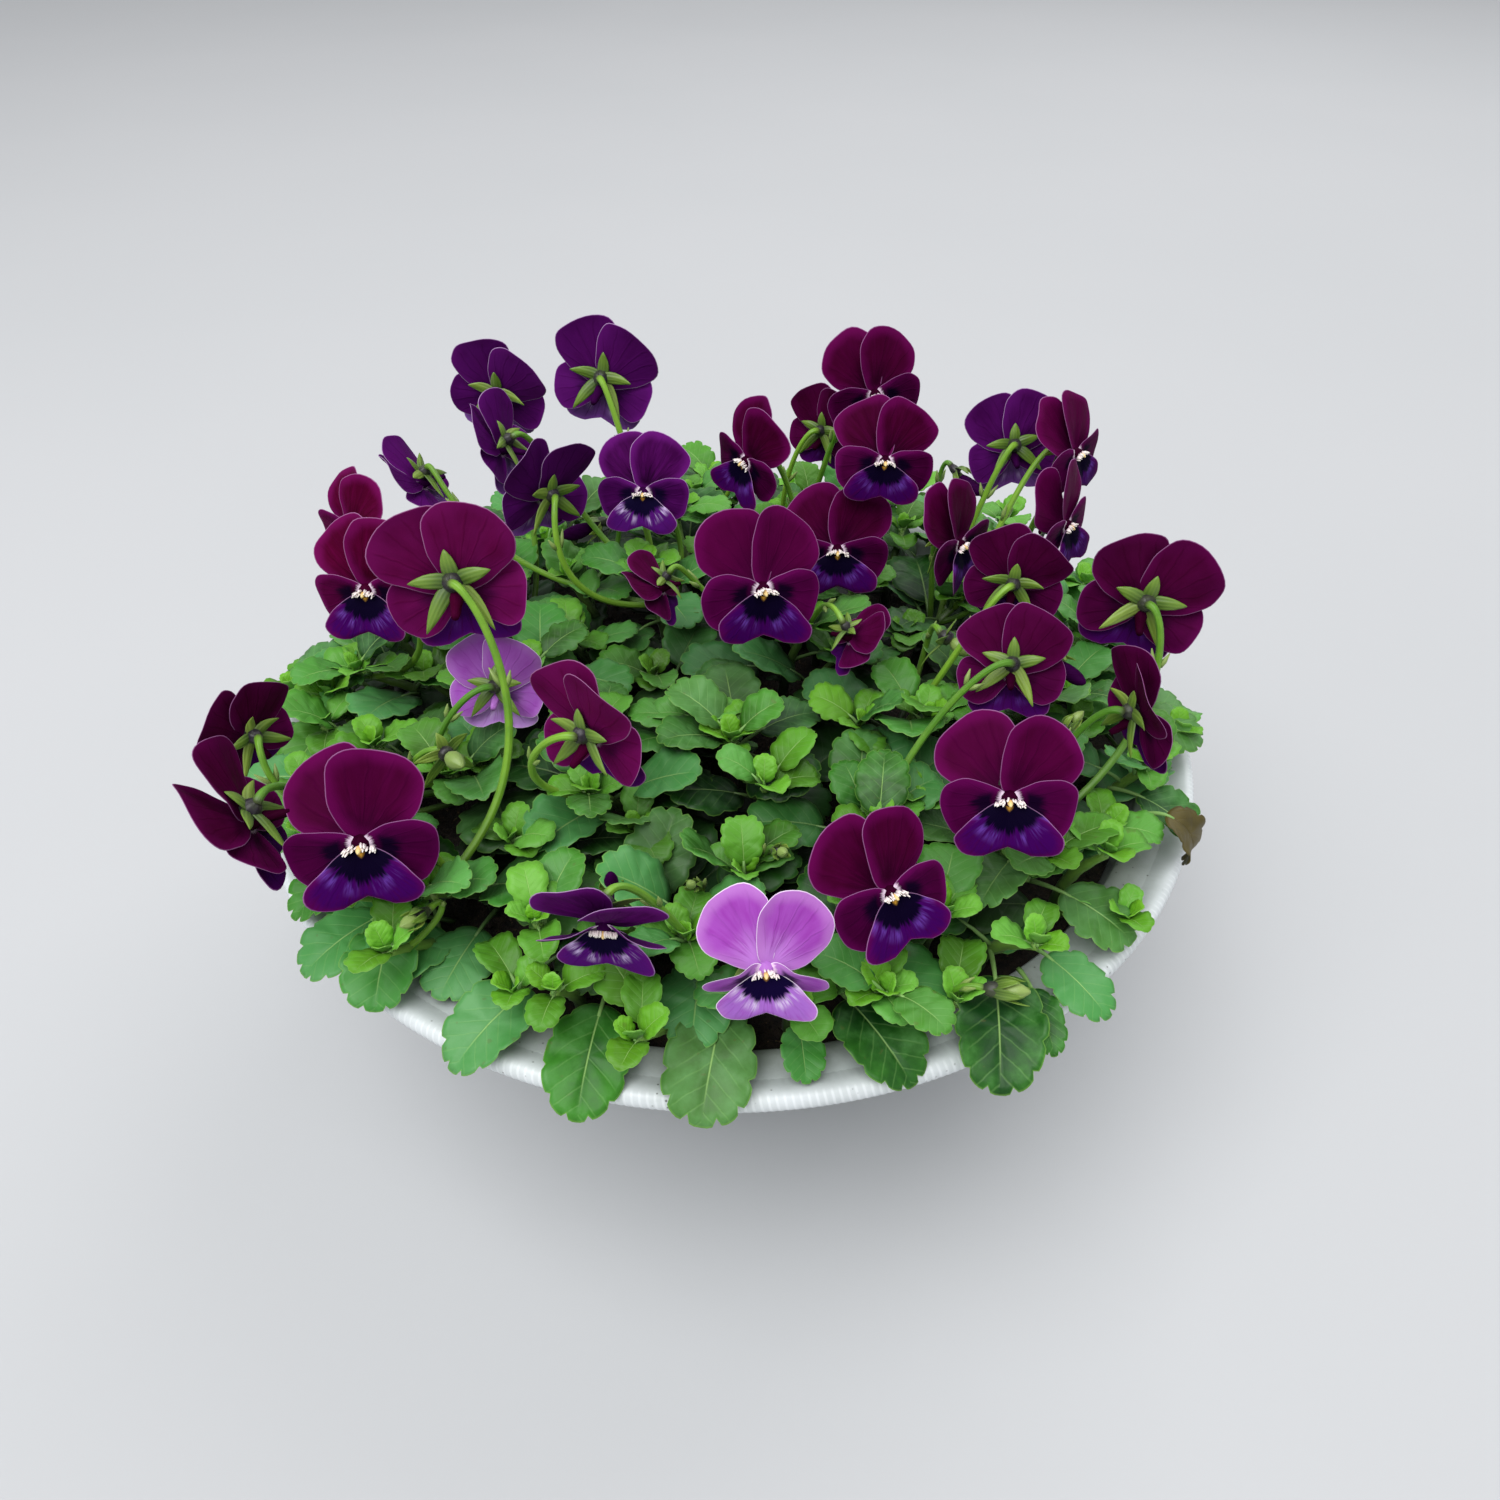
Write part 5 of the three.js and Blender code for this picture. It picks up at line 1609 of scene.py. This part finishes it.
def addCrumb(skin, draw):  # a small uneven lump that lies on the soil
    ball = [(1, 0, 0), (0, 1, 0), (-1, 0, 0), (0, -1, 0), (0, 0, 1), (0, 0, -1)]
    faces = [(0, 1, 4), (1, 2, 4), (2, 3, 4), (3, 0, 4), (1, 0, 5), (2, 1, 5), (3, 2, 5), (0, 3, 5)]
    r, turn = soil["reach"] * math.sqrt(draw(0, 0.97)), draw(0, 6.28)
    at = spot(r, turn, 0)
    size = draw(0.35, 1.5) ** 1.4
    at[2] = soilTop(r) - soil["sink"] + soilLumps(at[0], at[1]) + size * 0.2
    lump = np.array(ball, float) * size
    lump = lump * np.array([[draw(0.6, 1.3), draw(0.6, 1.3), draw(0.5, 1.0)] for _ in ball])
    skin.add(lump + at, faces, [])


def makeSoil():
    finish = makeSoilFinish()
    draw = Draw(soil["seed"])
    sides, reach = soil["sides"], soil["reach"]
    bottom = planter["floorThickness"] + 0.3
    surface = [[r, soilTop(r)] for r in np.linspace(reach, 3, soil["rings"])]
    profile = [[0, bottom], [soil["footRadius"], bottom], *surface, [0, soilMiddle]]
    points, caps, quads = latheDisc(profile, sides)
    top = points[sides:-2]
    fade = smooth(reach - np.hypot(top[:, 0], top[:, 1]), 0, 4)
    top[:, 2] += soilLumps(top[:, 0], top[:, 1]) * fade - soil["sink"]
    points[-1, 2] = top[-sides:, 2].mean()
    skin = Skin()
    skin.add(points, caps, quads)
    for _ in range(soil["crumbs"]):
        addCrumb(skin, draw)
    smoothBySlope(makePiece("soilSurface", skin, finish, ["soil"]), 60)
    print("soil made")


makePlanter()
makeSoil()

# Metres from here on
studio = {
    "lamps": {  # width, watts and place of each
        "softbox": (1.9, 52, (-0.6, -0.75, 2.15)),
        "fill": (1.6, 15, (0.9, 1.3, 1.7)),
    },
    "lampAim": (0, 0, 0.1),
    "sky": (0.72, 0.73, 0.75, 1),
    "skyStrength": 0.8,
    "floorHalf": 3,
    "floorColours": (tint(184, 186, 188), tint(190, 191, 193)),
    "lens": 27.05,
    "filmWidth": 36,
    "cameraPlace": (0, -0.26467, 0.31817),
    "cameraAim": (0.005, -0.02, 0.1),
}


def aimAt(thing, place, target):
    thing.location = place
    thing.rotation_euler = (Vector(target) - thing.location).to_track_quat("-Z", "Y").to_euler()
    bpy.context.scene.collection.objects.link(thing)


def addLamp(name, size, watts, place):
    light = bpy.data.lights.new(name, "AREA")
    light.size, light.energy = size, watts
    aimAt(bpy.data.objects.new(name, light), place, studio["lampAim"])


def makeFloor():
    finish = Finish("paleFloor")
    cloud = finish.cloud(finish.place(), 2.4, 3.0)
    finish.finishWith(finish.blend(*studio["floorColours"], cloud), 0.8)
    half = studio["floorHalf"]
    mesh = bpy.data.meshes.new("floor")
    corners = [(-half, -half, 0), (half, -half, 0), (half, half, 0), (-half, half, 0)]
    mesh.from_pydata(corners, [], [(0, 1, 2, 3)])
    mesh.materials.append(finish.material)
    floor = bpy.data.objects.new("floor", mesh)
    bpy.context.scene.collection.objects.link(floor)


def makeStudio():
    for name, row in studio["lamps"].items():
        addLamp(name, *row)
    camera = bpy.data.cameras.new("camera")
    camera.lens, camera.sensor_width, camera.clip_start = studio["lens"], studio["filmWidth"], 0.01
    view = bpy.data.objects.new("camera", camera)
    aimAt(view, studio["cameraPlace"], studio["cameraAim"])
    bpy.context.scene.camera = view
    world = bpy.data.worlds.new("studio")
    world.use_nodes = True
    sky = world.node_tree.nodes["Background"]
    sky.inputs["Color"].default_value = studio["sky"]
    sky.inputs["Strength"].default_value = studio["skyStrength"]
    bpy.context.scene.world = world
    bpy.context.scene.view_settings.view_transform = "Standard"
    print("studio made")


makeFloor()
makeStudio()
